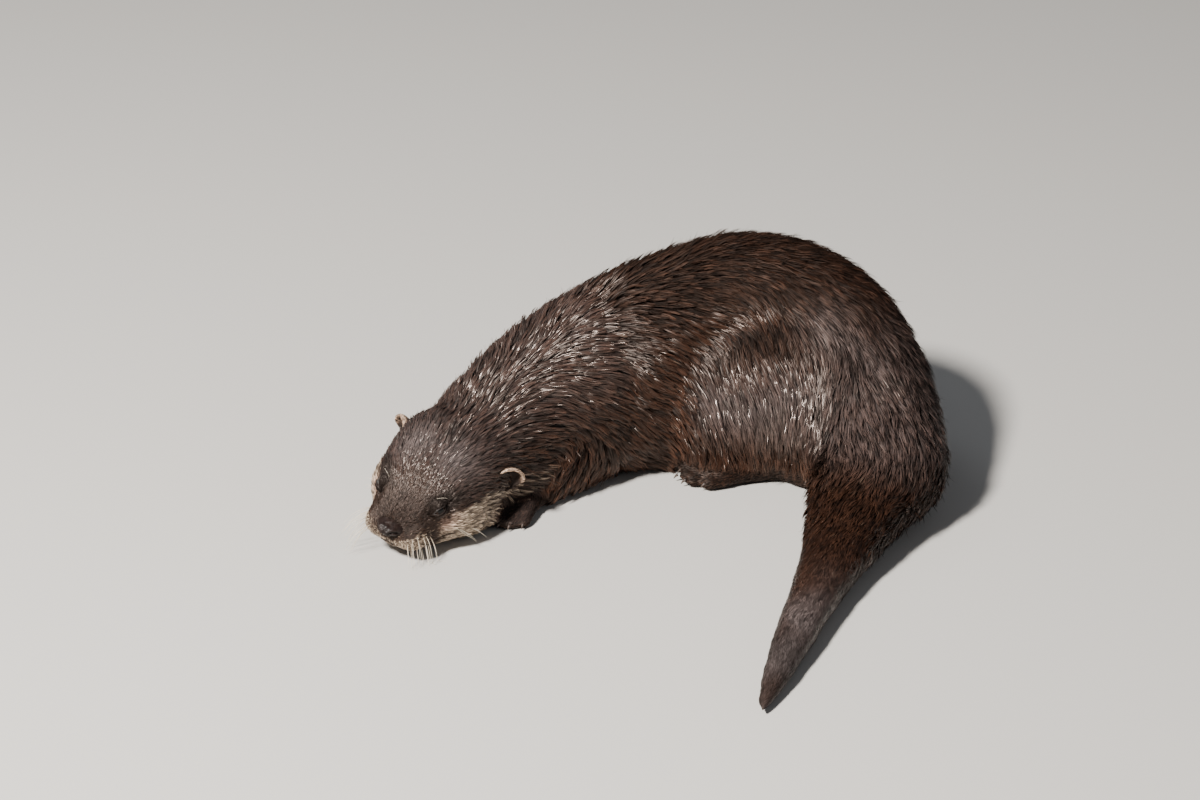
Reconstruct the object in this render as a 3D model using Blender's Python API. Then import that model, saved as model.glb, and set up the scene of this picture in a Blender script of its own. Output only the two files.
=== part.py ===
"""Life-size still model of a small-clawed otter, resting curled on its belly.

The body is modelled whole: tapered tubes and rounded masses are placed from named sizes, fused into one
closed form and smoothed, and then parted along thin cuts into head, neck, chest, loin, tail and limbs.
Ears, eyes and nose are pieces of their own, set against the head.

Axes: +Z up, the floor at Z = 0, the head towards -X and -Y, the rump towards +X, the tail brought round
towards -Y. The origin is the centre of the footprint, on the floor. Sizes are in millimetres until the
last step, which turns them into Blender's metres.
"""

import math

import bmesh
import bpy
from mathutils import Matrix, Vector

# ---------------------------------------------------------------- driving sizes, millimetres
EYE_RADIUS = 5.4
EYE_BACK = 31.0  # from the tip of the nose back to the eyes
EYE_APART = 39.0
EYE_UP = 5.0
EAR_BACK = 80.0  # from the tip of the nose back to the ears
EAR_APART = 80.0
EAR_WIDE = 20.0
EAR_TALL = 15.0
EAR_THICK = 3.0
NOSE_PLACE = (3.5, 0, -0.5)  # back, left and up from the tip of the nose
NOSE_SIZE = (6.5, 8.5, 5.5)
NOSE_REGION = (8, 10.5, 6.6)
HIND_FOOT = (82.0, 34.0, 22.0)  # length, width, height
FORE_PAW = (46.0, 28.0, 18.0)
TAIL_START = Vector((148, -16, 0))
TAIL_TIP = Vector((53, -300, 0))
TAIL_BOW = 3.0  # how far the tail's middle lies inside the straight line
PRESSED = 0.8  # how much of the tail's underside the floor flattens

NOSE_TIP = Vector((-176, -108, 27))
HEAD_HEADING = math.radians(-120.5)  # which way the nose points, counted from +X
HEAD_PITCH = math.radians(10.5)  # nose down
HEAD_ROLL = math.radians(-13)  # left cheek down

GAP = 0.3  # left between neighbouring pieces
CUT_MERGE = 0.005  # corners that a cut leaves closer than this become one
TRIANGLES = 3400  # of the fused body, before it is parted

# ---------------------------------------------------------------- small tools


def new_object(name, mesh):
    thing = bpy.data.objects.new(name, mesh)
    bpy.context.scene.collection.objects.link(thing)
    return thing


def smooth_row(row, steps):
    """A Catmull-Rom curve through rows of numbers, with this many steps between two of them."""
    padded = [row[0], *row, row[-1]]
    found = []
    for i in range(1, len(padded) - 2):
        a, b, c, d = padded[i - 1 : i + 3]
        for k in range(steps):
            t = k / steps
            row_here = []
            for p, q, r, s in zip(a, b, c, d):
                slope, bend, twist = r - p, 2 * p - 5 * q + 4 * r - s, 3 * q - p - 3 * r + s
                row_here.append(0.5 * (2 * q + slope * t + bend * t**2 + twist * t**3))
            found.append(row_here)
    found.append(list(row[-1]))
    return found


def oval(turn, fullness):
    """A point of a unit oval. Above 2, fullness squares off the lower half, as flesh does where it lies."""
    power = 2 / fullness if math.sin(turn) < 0 else 1
    return [math.copysign(abs(part) ** power, part) for part in (math.cos(turn), math.sin(turn))]


def tube(name, stations, up=(0, 0, 1), sides=28, steps=5, fullness=2):
    """A closed tube of oval rings. A station is (x, y, z, half width, half height)."""
    rows = smooth_row(stations, steps)
    up = Vector(up)
    form = bmesh.new()
    rings = []
    for i, (x, y, z, half_width, half_height) in enumerate(rows):
        before, after = rows[max(i - 1, 0)], rows[min(i + 1, len(rows) - 1)]
        along = (Vector(after[:3]) - Vector(before[:3])).normalized()
        across = up.cross(along).normalized()
        upward = along.cross(across)
        ring = []
        for k in range(sides):
            sideways, upwards = oval(2 * math.pi * k / sides, fullness)
            offset = across * (half_width * sideways) + upward * (half_height * upwards)
            ring.append(form.verts.new(Vector((x, y, z)) + offset))
        rings.append(ring)
    for low, high in zip(rings, rings[1:]):
        for k in range(sides):
            form.faces.new((low[k], low[(k + 1) % sides], high[(k + 1) % sides], high[k]))
    form.faces.new(reversed(rings[0]))
    form.faces.new(rings[-1])
    bmesh.ops.recalc_face_normals(form, faces=form.faces)
    mesh = bpy.data.meshes.new(name)
    form.to_mesh(mesh)
    form.free()
    return new_object(name, mesh)


def lump(name, centre, radii, turned=None, rings=12):
    """A rounded mass: a ball stretched to three radii, turned by a matrix if one is given."""
    form = bmesh.new()
    bmesh.ops.create_uvsphere(form, u_segments=2 * rings, v_segments=rings, radius=1)
    shape = Matrix.Diagonal((*radii, 1))
    if turned is not None:
        shape = turned.to_4x4() @ shape
    form.transform(Matrix.Translation(centre) @ shape)
    mesh = bpy.data.meshes.new(name)
    form.to_mesh(mesh)
    form.free()
    return new_object(name, mesh)


def finished(thing):
    """The object with its modifiers applied."""
    graph = bpy.context.evaluated_depsgraph_get()
    made = bpy.data.meshes.new_from_object(thing.evaluated_get(graph))
    thing.modifiers.clear()
    thing.data = made
    return thing


def joined(name, things):
    """One object holding the meshes of several, which are removed."""
    form = bmesh.new()
    for thing in things:
        form.from_mesh(thing.data)
        bpy.data.objects.remove(thing)
    mesh = bpy.data.meshes.new(name)
    form.to_mesh(mesh)
    form.free()
    return new_object(name, mesh)


def fused(name, things, voxel, smoothing):
    """Overlapping forms turned into one skin and smoothed, so that flesh runs from one into the next."""
    whole = joined(name, things)
    remesh = whole.modifiers.new("remesh", "REMESH")
    remesh.mode = "VOXEL"
    remesh.voxel_size = voxel
    smooth = whole.modifiers.new("smooth", "SMOOTH")
    smooth.factor = 0.5
    smooth.iterations = smoothing
    return finished(whole)


def combined(thing, other, operation):
    cut = thing.modifiers.new("cut", "BOOLEAN")
    cut.solver = "EXACT"
    cut.operation = operation
    cut.object = other
    return finished(thing)


def copy_of(thing, name):
    twin = thing.copy()
    twin.data = thing.data.copy()
    twin.name = name
    bpy.context.scene.collection.objects.link(twin)
    return twin


def grown(thing, name, distance):
    """A copy whose surface stands this far outside the first one's."""
    twin = copy_of(thing, name)
    swell = twin.modifiers.new("swell", "DISPLACE")
    swell.mid_level = 0
    swell.strength = distance
    return finished(twin)


# ---------------------------------------------------------------- the head's own axes

HEAD_TURN = Matrix.Rotation(HEAD_HEADING, 3, "Z")
HEAD_TURN = HEAD_TURN @ Matrix.Rotation(HEAD_PITCH, 3, "Y") @ Matrix.Rotation(HEAD_ROLL, 3, "X")


def on_head(back, left, up):
    """A point given from the tip of the nose: so far back, to the otter's left, and up."""
    return NOSE_TIP + HEAD_TURN @ Vector((-back, left, up))


# ---------------------------------------------------------------- trunk, neck and tail


def trunk():
    """From the back of the skull over the arched back to the rump."""
    return tube("trunk", [
        # x, y, z, half width, half height
        (*on_head(84, 0, -2), 34, 32),  # skull
        (-112, -12, 46, 42, 43),  # nape
        (-76, 22, 55, 50, 55),  # withers
        (-34, 48, 64, 55, 64),  # chest
        (14, 62, 73, 58, 72),  # ribs
        (62, 66, 78, 60, 78),  # top of the back
        (104, 54, 74, 59, 71),  # loin
        (131, 27, 60, 51, 57),  # hips
        (143, -12, 43, 46, 44),  # rump
        (147, -46, 33, 40, 34),  # root of the tail
        (144, -76, 24, 20, 20),
    ], fullness=2.7)


def tail():
    """Laid on the floor, thick at the root and flattened towards the tip."""
    profile = (
        # share of the length, half width, half height
        (0.0, 34, 30),
        (0.05, 39, 34),
        (0.12, 40, 31),
        (0.20, 36, 25),
        (0.31, 28.5, 19),
        (0.45, 22, 15),
        (0.58, 18.5, 13),
        (0.72, 16, 11),
        (0.85, 12.5, 8.5),
        (0.95, 8.5, 6),
        (1.0, 3, 3),
    )
    stations = []
    for share, half_width, half_height in profile:
        centre = TAIL_START.lerp(TAIL_TIP, share)
        x = centre.x - TAIL_BOW * math.sin(math.pi * share)
        stations.append((x, centre.y, half_height - PRESSED, half_width, half_height))
    return tube("tail", stations)


def belly():
    """What spreads on the floor: the belly on either side, and the flesh behind the heel."""
    return [
        lump("flank_left", (-2, 58, 14), (72, 38, 36)),
        lump("flank_right", (16, 84, 16), (84, 37, 36)),
        lump("groin_left", (112, 14, 18), (34, 24, 34)),
        lump("throat", on_head(66, 8, -24), (30, 28, 22), HEAD_TURN),
    ]


# ---------------------------------------------------------------- limbs


def flat_turn(degrees):
    return Matrix.Rotation(math.radians(degrees), 3, "Z")


def haunches():
    """Both thighs, folded: the knee forward, the heel on the floor."""
    return [
        lump("thigh_left", (80, 22, 60), (62, 32, 60), flat_turn(-6)),
        lump("knee_left", (42, 18, 36), (27, 22, 36)),
        lump("thigh_right", (92, 108, 58), (60, 28, 54), flat_turn(-14)),
        lump("knee_right", (48, 116, 34), (28, 21, 33)),
    ]


def upper_arms():
    return [
        lump("shoulder_left", (-56, 14, 46), (34, 24, 46), flat_turn(34)),
        lump("shoulder_right", (-92, 58, 44), (32, 24, 42), flat_turn(40)),
        tube("forearm_left", [(-28, 30, 17, 16, 17), (-52, 6, 14, 15, 15), (-78, -20, 11, 13, 12)]),
        tube("forearm_right", [(-68, 76, 17, 16, 17), (-95, 55, 14, 15, 15), (-124, 32, 11, 13, 12)]),
    ]


def foot(name, heel, heading, size, side):
    """A webbed foot flat on the floor: a wedge of sole, and five round toes that fan out."""
    length, width, height = size
    turn = flat_turn(heading)

    def at(forward, left, up):
        return Vector((*heel, 0)) + turn @ Vector((forward * length, left * width * side, up * height))

    toe_radius = 0.13 * width
    pieces = [
        tube(name, [
            (*at(0.0, 0, 0.50), 0.24 * width, 0.52 * height),
            (*at(0.30, 0, 0.46), 0.32 * width, 0.50 * height),
            (*at(0.62, 0, 0.34), 0.44 * width, 0.38 * height),
            (*at(0.80, 0, 0.26), 0.42 * width, 0.28 * height),
        ]),
    ]
    # share of the length reached, and how far to the side, from the inner toe to the outer one
    for reach, aside in ((0.80, 0.44), (0.95, 0.26), (1.0, 0.03), (0.96, -0.20), (0.86, -0.42)):
        root, tip = at(0.55, aside * 0.7, 0.30), at(reach, aside, 0.20)
        ends = [(*end, toe_radius, toe_radius) for end in (root, tip)]
        pieces.append(tube(name + "_toe", ends, sides=14, steps=3))
        pieces.append(lump(name + "_pad", tip, (toe_radius * 1.15,) * 3, rings=8))
    return pieces


def feet():
    return [
        *foot("hind_left", (98, 17), 184, HIND_FOOT, 1),
        *foot("hind_right", (94, 116), 176, HIND_FOOT, -1),
        *foot("fore_left", (-76, -19), 232, FORE_PAW, 1),
        *foot("fore_right", (-120, 35), 228, FORE_PAW, -1),
    ]


# ---------------------------------------------------------------- head


def skull():
    """Broad and flat, with a short blunt muzzle. A station is (back, up, half width, half height)."""
    stations = (
        (3, -4, 9, 8),
        (8, -5, 15, 13),
        (15, -5, 20, 17),
        (24, -4, 24, 20),
        (34, -3, 28, 24),
        (46, -2, 34, 28),
        (60, -1, 39, 31),
        (76, 0, 41, 34.5),
        (92, 1, 40, 36),
    )
    return tube(
        "skull",
        [(*on_head(back, 0, up), wide, high) for back, up, wide, high in stations],
        up=HEAD_TURN @ Vector((0, 0, 1)),
    )


def head_masses():
    """The masses that give the face its planes: (back, left, up) from the tip of the nose, (radii)."""
    middle = {
        "nose_pad": (NOSE_PLACE, NOSE_SIZE),
        "bridge": ((17, 0, 2), (14, 9, 6)),
        "chin": ((18, 0, -18), (14, 12, 6)),
        "brow": ((36, 0, 12), (16, 17, 8)),
    }
    paired = {
        "whisker_pad": ((14, 11.5, -9), (12, 12, 10)),
        "brow_ridge": ((33, 17, 9.5), (10, 6, 5)),
        "cheek": ((54, 26, -8), (24, 14, 18)),
        "jaw": ((38, 17, -16), (22, 12, 9)),
        "ruff": ((68, 26, -16), (26, 16, 18)),
    }
    masses = [lump(name, on_head(*place), radii, HEAD_TURN) for name, (place, radii) in middle.items()]
    for name, ((back, left, up), radii) in paired.items():
        for side in (1, -1):
            masses.append(lump(name, on_head(back, left * side, up), radii, HEAD_TURN))
    return masses


def ear(name, side):
    """A small round cup of gristle and skin, open forwards and out, leaning back against the head."""
    form = bmesh.new()
    bmesh.ops.create_uvsphere(form, u_segments=14, v_segments=8, radius=1)
    for v in form.verts:
        bowl = 1 - v.co.x**2 - v.co.y**2
        v.co.z = v.co.z * EAR_THICK / 2 - bowl * EAR_THICK * 0.9
        v.co.x *= EAR_WIDE / 2
        v.co.y *= EAR_TALL / 2
    facing = Matrix.Rotation(math.radians(-62) * side, 3, "X") @ Matrix.Rotation(math.radians(38), 3, "Y")
    centre = on_head(EAR_BACK, side * EAR_APART / 2, 6)
    form.transform(Matrix.Translation(centre) @ (HEAD_TURN @ facing).to_4x4())
    mesh = bpy.data.meshes.new(name)
    form.to_mesh(mesh)
    form.free()
    return new_object(name, mesh)


def eye_centre(side):
    return on_head(EYE_BACK, side * EYE_APART / 2, EYE_UP)


# ---------------------------------------------------------------- the body made whole


def body():
    masses = [trunk(), tail(), *belly(), *haunches(), *upper_arms(), skull()]
    flesh = fused("flesh", masses, voxel=3.2, smoothing=9)
    whole = fused("body", [flesh, *head_masses(), *feet()], voxel=2.0, smoothing=5)
    thin = whole.modifiers.new("thin", "DECIMATE")
    thin.ratio = TRIANGLES / (2 * len(whole.data.polygons))
    return finished(whole)


def box(name, low, high, turned=None, centre=(0, 0, 0)):
    """A box between two corners of its own frame, which is turned and then moved to a centre."""
    form = bmesh.new()
    bmesh.ops.create_cube(form, size=1)
    low, high = Vector(low), Vector(high)
    form.transform(Matrix.Translation((low + high) / 2) @ Matrix.Diagonal((*(high - low), 1)))
    turn = turned.to_4x4() if turned is not None else Matrix.Identity(4)
    form.transform(Matrix.Translation(centre) @ turn)
    mesh = bpy.data.meshes.new(name)
    form.to_mesh(mesh)
    form.free()
    return new_object(name, mesh)


def stand_on_floor(thing):
    """Presses the underside flat on the floor, in several small flats at one level."""
    reach = 500
    above = box("above", (-reach, -reach, 0), (reach, reach, reach))
    combined(thing, above, "INTERSECT")
    bpy.data.objects.remove(above)


# ---------------------------------------------------------------- parting it


def without_crumbs(thing):
    """Keeps the largest closed body that a cut has left, and drops any speck beside it."""
    form = bmesh.new()
    form.from_mesh(thing.data)
    waiting = set(form.faces)
    islands = []
    while waiting:
        seeds = [waiting.pop()]
        island = list(seeds)
        while seeds:
            for edge in seeds.pop().edges:
                for face in edge.link_faces:
                    if face in waiting:
                        waiting.discard(face)
                        seeds.append(face)
                        island.append(face)
        islands.append(island)
    islands.sort(key=lambda island: sum(face.calc_area() for face in island))
    for island in islands[:-1]:
        bmesh.ops.delete(form, geom=island, context="FACES")
    bmesh.ops.triangulate(form, faces=form.faces)
    bmesh.ops.remove_doubles(form, verts=form.verts, dist=CUT_MERGE)
    form.to_mesh(thing.data)
    form.free()
    return thing


def split_off(thing, name, region):
    """Makes what lies inside a region an object of its own, and leaves the gap between the two.

    The region is a function that makes a closed form, wider all round by the margin it is given.
    """
    inside, wider = region(0), region(GAP)
    piece = without_crumbs(combined(copy_of(thing, name), inside, "INTERSECT"))
    without_crumbs(combined(thing, wider, "DIFFERENCE"))
    bpy.data.objects.remove(inside)
    bpy.data.objects.remove(wider)
    return piece


def sliced_off(thing, name, point, towards, half_width=110, reach=330):
    """Makes what lies beyond a plane an object of its own. The cut is limited to a block of this width."""
    turn = Vector(towards).to_track_quat("Z", "Y").to_matrix()
    low, high = Vector((-half_width, -half_width, 0)), Vector((half_width, half_width, reach))
    back = Vector((0, 0, GAP / 2))
    beyond = box("beyond", low + back, high, turn, point)
    piece = without_crumbs(combined(copy_of(thing, name), beyond, "INTERSECT"))
    bpy.data.objects.remove(beyond)
    before = box("before", low - back, high, turn, point)
    without_crumbs(combined(thing, before, "DIFFERENCE"))
    bpy.data.objects.remove(before)
    return piece


def part_limbs(whole):
    """Feet first, as low blocks, and then the legs that they end, as rounded masses."""
    # centre on the floor, half length, half width and height, heading
    feet_regions = {
        "hindfoot_left": ((55, 12), (48, 24, 21), 4),
        "hindfoot_right": ((53, 118), (48, 24, 21), -4),
        "forepaw_left": ((-92, -40), (28, 19, 18), 52),
        "forepaw_right": ((-137, 16), (28, 19, 18), 48),
    }
    # centre, radii, heading
    leg_regions = {
        "hindleg_left": ((78, 14, 58), (68, 38, 64), -6),
        "hindleg_right": ((90, 118, 56), (66, 36, 60), -14),
        "foreleg_left": ((-56, 2, 30), (46, 26, 42), 42),
        "foreleg_right": ((-96, 60, 30), (44, 26, 42), 41),
    }
    for name, ((x, y), (half_length, half_width, height), heading) in feet_regions.items():

        def block(margin):
            side, front = half_width + margin, half_length + margin
            low, high = (-front, -side, -height), (front, side, height + margin)
            return box("region", low, high, flat_turn(heading), (x, y, 0))

        split_off(whole, name, block)
    for name, (centre, radii, heading) in leg_regions.items():

        def mass(margin):
            wider = [radius + margin for radius in radii]
            return lump("region", centre, wider, flat_turn(heading), rings=7)

        split_off(whole, name, mass)


def part_length(whole):
    """The rest of the body, each cut square to the spine. What is left of the whole is the loin."""
    tail_root = sliced_off(whole, "tail_root", (147, -46, 30), (-0.30, -0.95, -0.08))
    tail_middle = sliced_off(tail_root, "tail_middle", (117, -128, 12), (-0.32, -0.95, 0))
    sliced_off(tail_middle, "tail_tip", (84, -214, 8), (-0.34, -0.94, 0))
    chest = sliced_off(whole, "chest", (30, 64, 70), (-1, -0.16, 0), half_width=200)
    neck = sliced_off(chest, "neck", (-84, 16, 50), (-0.78, -0.60, -0.16), half_width=160)
    whole.name = "loin"
    return sliced_off(neck, "head", on_head(92, 0, 0), HEAD_TURN @ Vector((1, 0, 0.1)), half_width=120)


def finish_head(head):
    """The nose pad is parted from the muzzle. Eyes and ears stand in sockets cut for them."""

    def around_nose(margin):
        radii = [radius + margin for radius in NOSE_REGION]
        return lump("region", on_head(*NOSE_PLACE), radii, HEAD_TURN, rings=6)

    split_off(head, "nose", around_nose)
    for side, name in ((1, "left"), (-1, "right")):
        eye = lump("eye_" + name, eye_centre(side), (EYE_RADIUS,) * 3, rings=8)
        for piece in (eye, ear("ear_" + name, side)):
            socket = grown(piece, "socket", GAP)
            without_crumbs(combined(head, socket, "DIFFERENCE"))
            bpy.data.objects.remove(socket)


# ---------------------------------------------------------------- finish

# base colour and roughness of each finish
FINISHES = {
    "dark_fur": ((0.045, 0.027, 0.019), 0.55),
    "face_fur": ((0.060, 0.038, 0.027), 0.55),
    "tail_fur": ((0.050, 0.034, 0.027), 0.45),
    "ear_skin": ((0.22, 0.15, 0.10), 0.7),
    "eye": ((0.01, 0.007, 0.005), 0.08),
    "nose_skin": ((0.03, 0.022, 0.02), 0.45),
}
FINISH_OF = {"head": "face_fur", "nose": "nose_skin", "tail": "tail_fur", "ear": "ear_skin", "eye": "eye"}


def painted(thing):
    finish = FINISH_OF.get(thing.name.split("_")[0], "dark_fur")
    colour, roughness = FINISHES[finish]
    material = bpy.data.materials.new(thing.name + "_" + finish)
    material.use_nodes = True
    shader = material.node_tree.nodes["Principled BSDF"]
    shader.inputs["Base Color"].default_value = (*colour, 1)
    shader.inputs["Roughness"].default_value = roughness
    shader.inputs["Metallic"].default_value = 0
    thing.data.materials.clear()
    thing.data.materials.append(material)


def centred(things):
    """Brings the middle of the footprint to the origin and the sizes to metres."""
    corners = [v.co for thing in things for v in thing.data.vertices]
    low = [min(corner[i] for corner in corners) for i in (0, 1)]
    high = [max(corner[i] for corner in corners) for i in (0, 1)]
    middle = Vector(((low[0] + high[0]) / 2, (low[1] + high[1]) / 2, 0))
    for thing in things:
        thing.data.transform(Matrix.Scale(0.001, 4) @ Matrix.Translation(-middle))
        thing.data.update()


def main():
    for thing in list(bpy.data.objects):
        bpy.data.objects.remove(thing)
    whole = body()
    stand_on_floor(whole)
    part_limbs(whole)
    finish_head(part_length(whole))
    things = list(bpy.data.objects)
    centred(things)
    for thing in things:
        painted(thing)
        thing.data.shade_smooth()
        thing.data.set_sharp_from_angle(angle=math.radians(50))


main()
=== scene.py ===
import math

import bpy
import numpy as np
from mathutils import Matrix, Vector, noise
from mathutils.bvhtree import BVHTree
from mathutils.kdtree import KDTree


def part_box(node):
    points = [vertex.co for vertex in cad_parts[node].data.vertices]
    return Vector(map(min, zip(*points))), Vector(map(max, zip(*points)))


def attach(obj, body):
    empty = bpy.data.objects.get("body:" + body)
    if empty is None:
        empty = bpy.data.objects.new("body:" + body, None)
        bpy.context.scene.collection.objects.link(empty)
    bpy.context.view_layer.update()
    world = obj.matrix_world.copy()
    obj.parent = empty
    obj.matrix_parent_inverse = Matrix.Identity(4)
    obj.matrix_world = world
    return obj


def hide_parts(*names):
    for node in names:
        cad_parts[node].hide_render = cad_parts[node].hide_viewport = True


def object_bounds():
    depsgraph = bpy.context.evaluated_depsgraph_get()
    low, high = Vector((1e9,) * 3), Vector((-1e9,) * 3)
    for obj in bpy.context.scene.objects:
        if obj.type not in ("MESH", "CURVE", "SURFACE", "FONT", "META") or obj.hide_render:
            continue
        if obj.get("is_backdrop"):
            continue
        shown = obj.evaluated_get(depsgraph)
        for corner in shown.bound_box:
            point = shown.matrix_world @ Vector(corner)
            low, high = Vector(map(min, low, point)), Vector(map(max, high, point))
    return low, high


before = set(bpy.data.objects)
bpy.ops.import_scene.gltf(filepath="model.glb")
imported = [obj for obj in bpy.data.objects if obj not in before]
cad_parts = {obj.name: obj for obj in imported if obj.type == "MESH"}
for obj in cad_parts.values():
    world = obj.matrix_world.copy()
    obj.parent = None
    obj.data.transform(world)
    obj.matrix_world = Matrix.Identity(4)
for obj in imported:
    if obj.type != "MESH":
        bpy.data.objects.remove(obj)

# A small-clawed otter lies curled on its belly with its chin on the floor. It is dressed here over the
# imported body: one skin, a coat of wet locks, then nose, eyes, ears, claws and whiskers.
cad_low, cad_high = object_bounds()
bpy.ops.object.select_all(action="DESELECT")
MM = 0.001


# ---- room, light and camera
# A pale plaster floor under an even, pale sky. A small, strong window high on the left does the work of
# the sun. Two broad, faint ones, above and behind and on the right, soften its shadows.
LOOK_AT = (-38.3, 78.0, -11.7)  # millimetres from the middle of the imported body
CAMERA_HEIGHT = math.radians(26)
CAMERA_AWAY = 2.2
WINDOWS = (
    # name, place, size, power in watts, colour
    ("window_left", (-1.15, -1.30, 1.85), 0.36, 195, (1.0, 0.955, 0.90)),
    ("window_above", (-0.9, 0.9, 1.9), 0.9, 3, (0.84, 0.92, 1.0)),
    ("window_right", (1.9, -0.9, 1.0), 1.8, 5, (0.92, 0.95, 1.0)),
)


def placed(name, data):
    """A new object in the scene."""
    thing = bpy.data.objects.new(name, data)
    bpy.context.scene.collection.objects.link(thing)
    return thing


def aimed(thing, place, way):
    thing.location = place
    thing.rotation_mode = "QUATERNION"
    thing.rotation_quaternion = way.to_track_quat("-Z", "Y")


look_at = (cad_low + cad_high) / 2 + Vector(LOOK_AT) * MM
away = Vector((0, -math.cos(CAMERA_HEIGHT), math.sin(CAMERA_HEIGHT)))
camera = placed("camera", bpy.data.cameras.new("camera"))
aimed(camera, look_at + away * CAMERA_AWAY, -away)
camera.data.lens = 100
camera.data.sensor_width = 36
camera.data.clip_start = 0.05
bpy.context.scene.camera = camera

for name, place, size, power, colour in WINDOWS:
    lamp = bpy.data.lights.new(name, "AREA")
    lamp.shape = "DISK"
    lamp.size = size
    lamp.energy = power
    lamp.color = colour
    aimed(placed(name, lamp), place, look_at - Vector(place))

sky = bpy.data.worlds.new("pale_room")
sky.use_nodes = True
sky.node_tree.nodes["Background"].inputs["Color"].default_value = (0.90, 0.93, 1.0, 1)
sky.node_tree.nodes["Background"].inputs["Strength"].default_value = 0.13
bpy.context.scene.world = sky


class Finish:
    """A procedural material. Each input of a node takes a plain value, or the output of another node."""

    def __init__(self, name):
        self.material = bpy.data.materials.new(name)
        self.material.use_nodes = True
        self.tree = self.material.node_tree

    def fill(self, node, inputs):
        for key, value in inputs.items():
            if isinstance(value, bpy.types.NodeSocket):
                self.tree.links.new(value, node.inputs[key])
            else:
                node.inputs[key].default_value = (*value, 1) if isinstance(value, tuple) else value
        return node

    def node(self, kind, inputs=None, **settings):
        made = self.tree.nodes.new("ShaderNode" + kind)
        for key, value in settings.items():
            setattr(made, key, value)
        return self.fill(made, inputs or {})

    def stored(self, name):
        """A measure that the mesh keeps at its points."""
        return self.node("Attribute", attribute_name=name).outputs

    def place(self):
        return self.node("TexCoord").outputs["Object"]

    def blotches(self, scale, detail=2):
        inputs = {"Scale": scale, "Detail": detail, "Vector": self.place()}
        return self.node("TexNoise", inputs).outputs["Fac"]

    def maths(self, operation, first, second):
        return self.node("Math", {0: first, 1: second}, operation=operation).outputs[0]

    def mixed(self, share, first, second, **settings):
        """The first colour, and by this share the second."""
        inputs = {0: share, 6: first, 7: second}
        return self.node("Mix", inputs, data_type="RGBA", **settings).outputs[2]

    def toned(self, share, *stops):
        """Colours by a share, through stops of position and colour."""
        tone = self.node("ValToRGB", {"Fac": share})
        while len(tone.color_ramp.elements) < len(stops):
            tone.color_ramp.elements.new(0.5)
        for element, (position, colour) in zip(tone.color_ramp.elements, stops):
            element.position = position
            element.color = (*colour, 1)
        return tone.outputs["Color"]

    def raised(self, height, strength, distance, **settings):
        inputs = {"Strength": strength, "Distance": distance, "Height": height}
        return self.node("Bump", inputs, **settings).outputs["Normal"]

    def surface(self, inputs):
        """The finished material, from the inputs of its surface."""
        self.fill(self.tree.nodes["Principled BSDF"], inputs)
        return self.material


bpy.ops.mesh.primitive_plane_add(size=14, location=(0, 0, 0))
floor = bpy.context.object
floor.name = "floor"
plaster = Finish("pale_floor").surface({"Base Color": (0.55, 0.535, 0.51), "Roughness": 0.85})
floor.data.materials.append(plaster)
floor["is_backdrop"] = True


# ---- skin
# One hide covers head, trunk, limbs and tail without a seam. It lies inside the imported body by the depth
# of the coat, and on the face it is folded into lids, brows, lips and cheeks.
FLESH = (
    "head", "neck", "chest", "loin", "foreleg_left", "foreleg_right", "forepaw_left", "forepaw_right",
    "hindleg_left", "hindleg_right", "hindfoot_left", "hindfoot_right",
    "tail_root", "tail_middle", "tail_tip",
)
PACKED = (*FLESH, "nose", "eye_left", "eye_right")
SKIN_GRAIN = 2.9 * MM  # width of a face of the hide, before the face is made finer


def centre(node):
    low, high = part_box(node)
    return (low + high) / 2


def spot(node, across, along, up):
    """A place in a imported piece, as shares of its box."""
    low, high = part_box(node)
    return Vector((low[i] + (high[i] - low[i]) * share) for i, share in enumerate((across, along, up)))


def chosen(*things):
    """Selects only these, the first of them active."""
    bpy.ops.object.select_all(action="DESELECT")
    for thing in things:
        thing.select_set(True)
    bpy.context.view_layer.objects.active = things[0]
    return things[0]


def reshaped(thing, kind, **settings):
    """Runs a modifier on a thing, for good."""
    modifier = thing.modifiers.new(kind, kind)
    for key, value in settings.items():
        setattr(modifier, key, value)
    chosen(thing)
    bpy.ops.object.modifier_apply(modifier=modifier.name)
    return thing


def edited(thing, operator, **options):
    """Runs an operator of the mesh editor on the whole of a thing."""
    chosen(thing)
    bpy.ops.object.mode_set(mode="EDIT")
    bpy.ops.mesh.select_all(action="SELECT")
    operator(**options)
    bpy.ops.object.mode_set(mode="OBJECT")


def shaded_smooth(thing):
    chosen(thing)
    bpy.ops.object.shade_smooth()


def read(rows, name, columns, kind=np.float32):
    """One property of all the rows of a mesh."""
    found = np.empty(len(rows) * columns, kind)
    rows.foreach_get(name, found)
    return found.reshape(-1, columns)


def points_of(thing):
    return read(thing.data.vertices, "co", 3, float)


def set_points(thing, places):
    thing.data.vertices.foreach_set("co", np.asarray(places, np.float32).ravel())
    thing.data.update()


def normals_of(thing):
    return read(thing.data.vertex_normals, "vector", 3).astype(float)


def unit(rows):
    return rows / np.maximum(np.linalg.norm(rows, axis=-1, keepdims=True), 1e-12)


def ramp(value, start, end):
    """Runs smoothly from 0 at start to 1 at end."""
    share = np.clip((value - start) / (end - start), 0, 1)
    return share * share * (3 - 2 * share)


def bump_at(distance, width):
    return np.exp(-((distance / width) ** 2))


def noise_at(places, scale):
    return np.array([noise.noise(Vector(place) * scale) for place in places])


def tree_of(places):
    tree = KDTree(len(places))
    for i, place in enumerate(places):
        tree.insert(place, i)
    tree.balance()
    return tree


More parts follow.
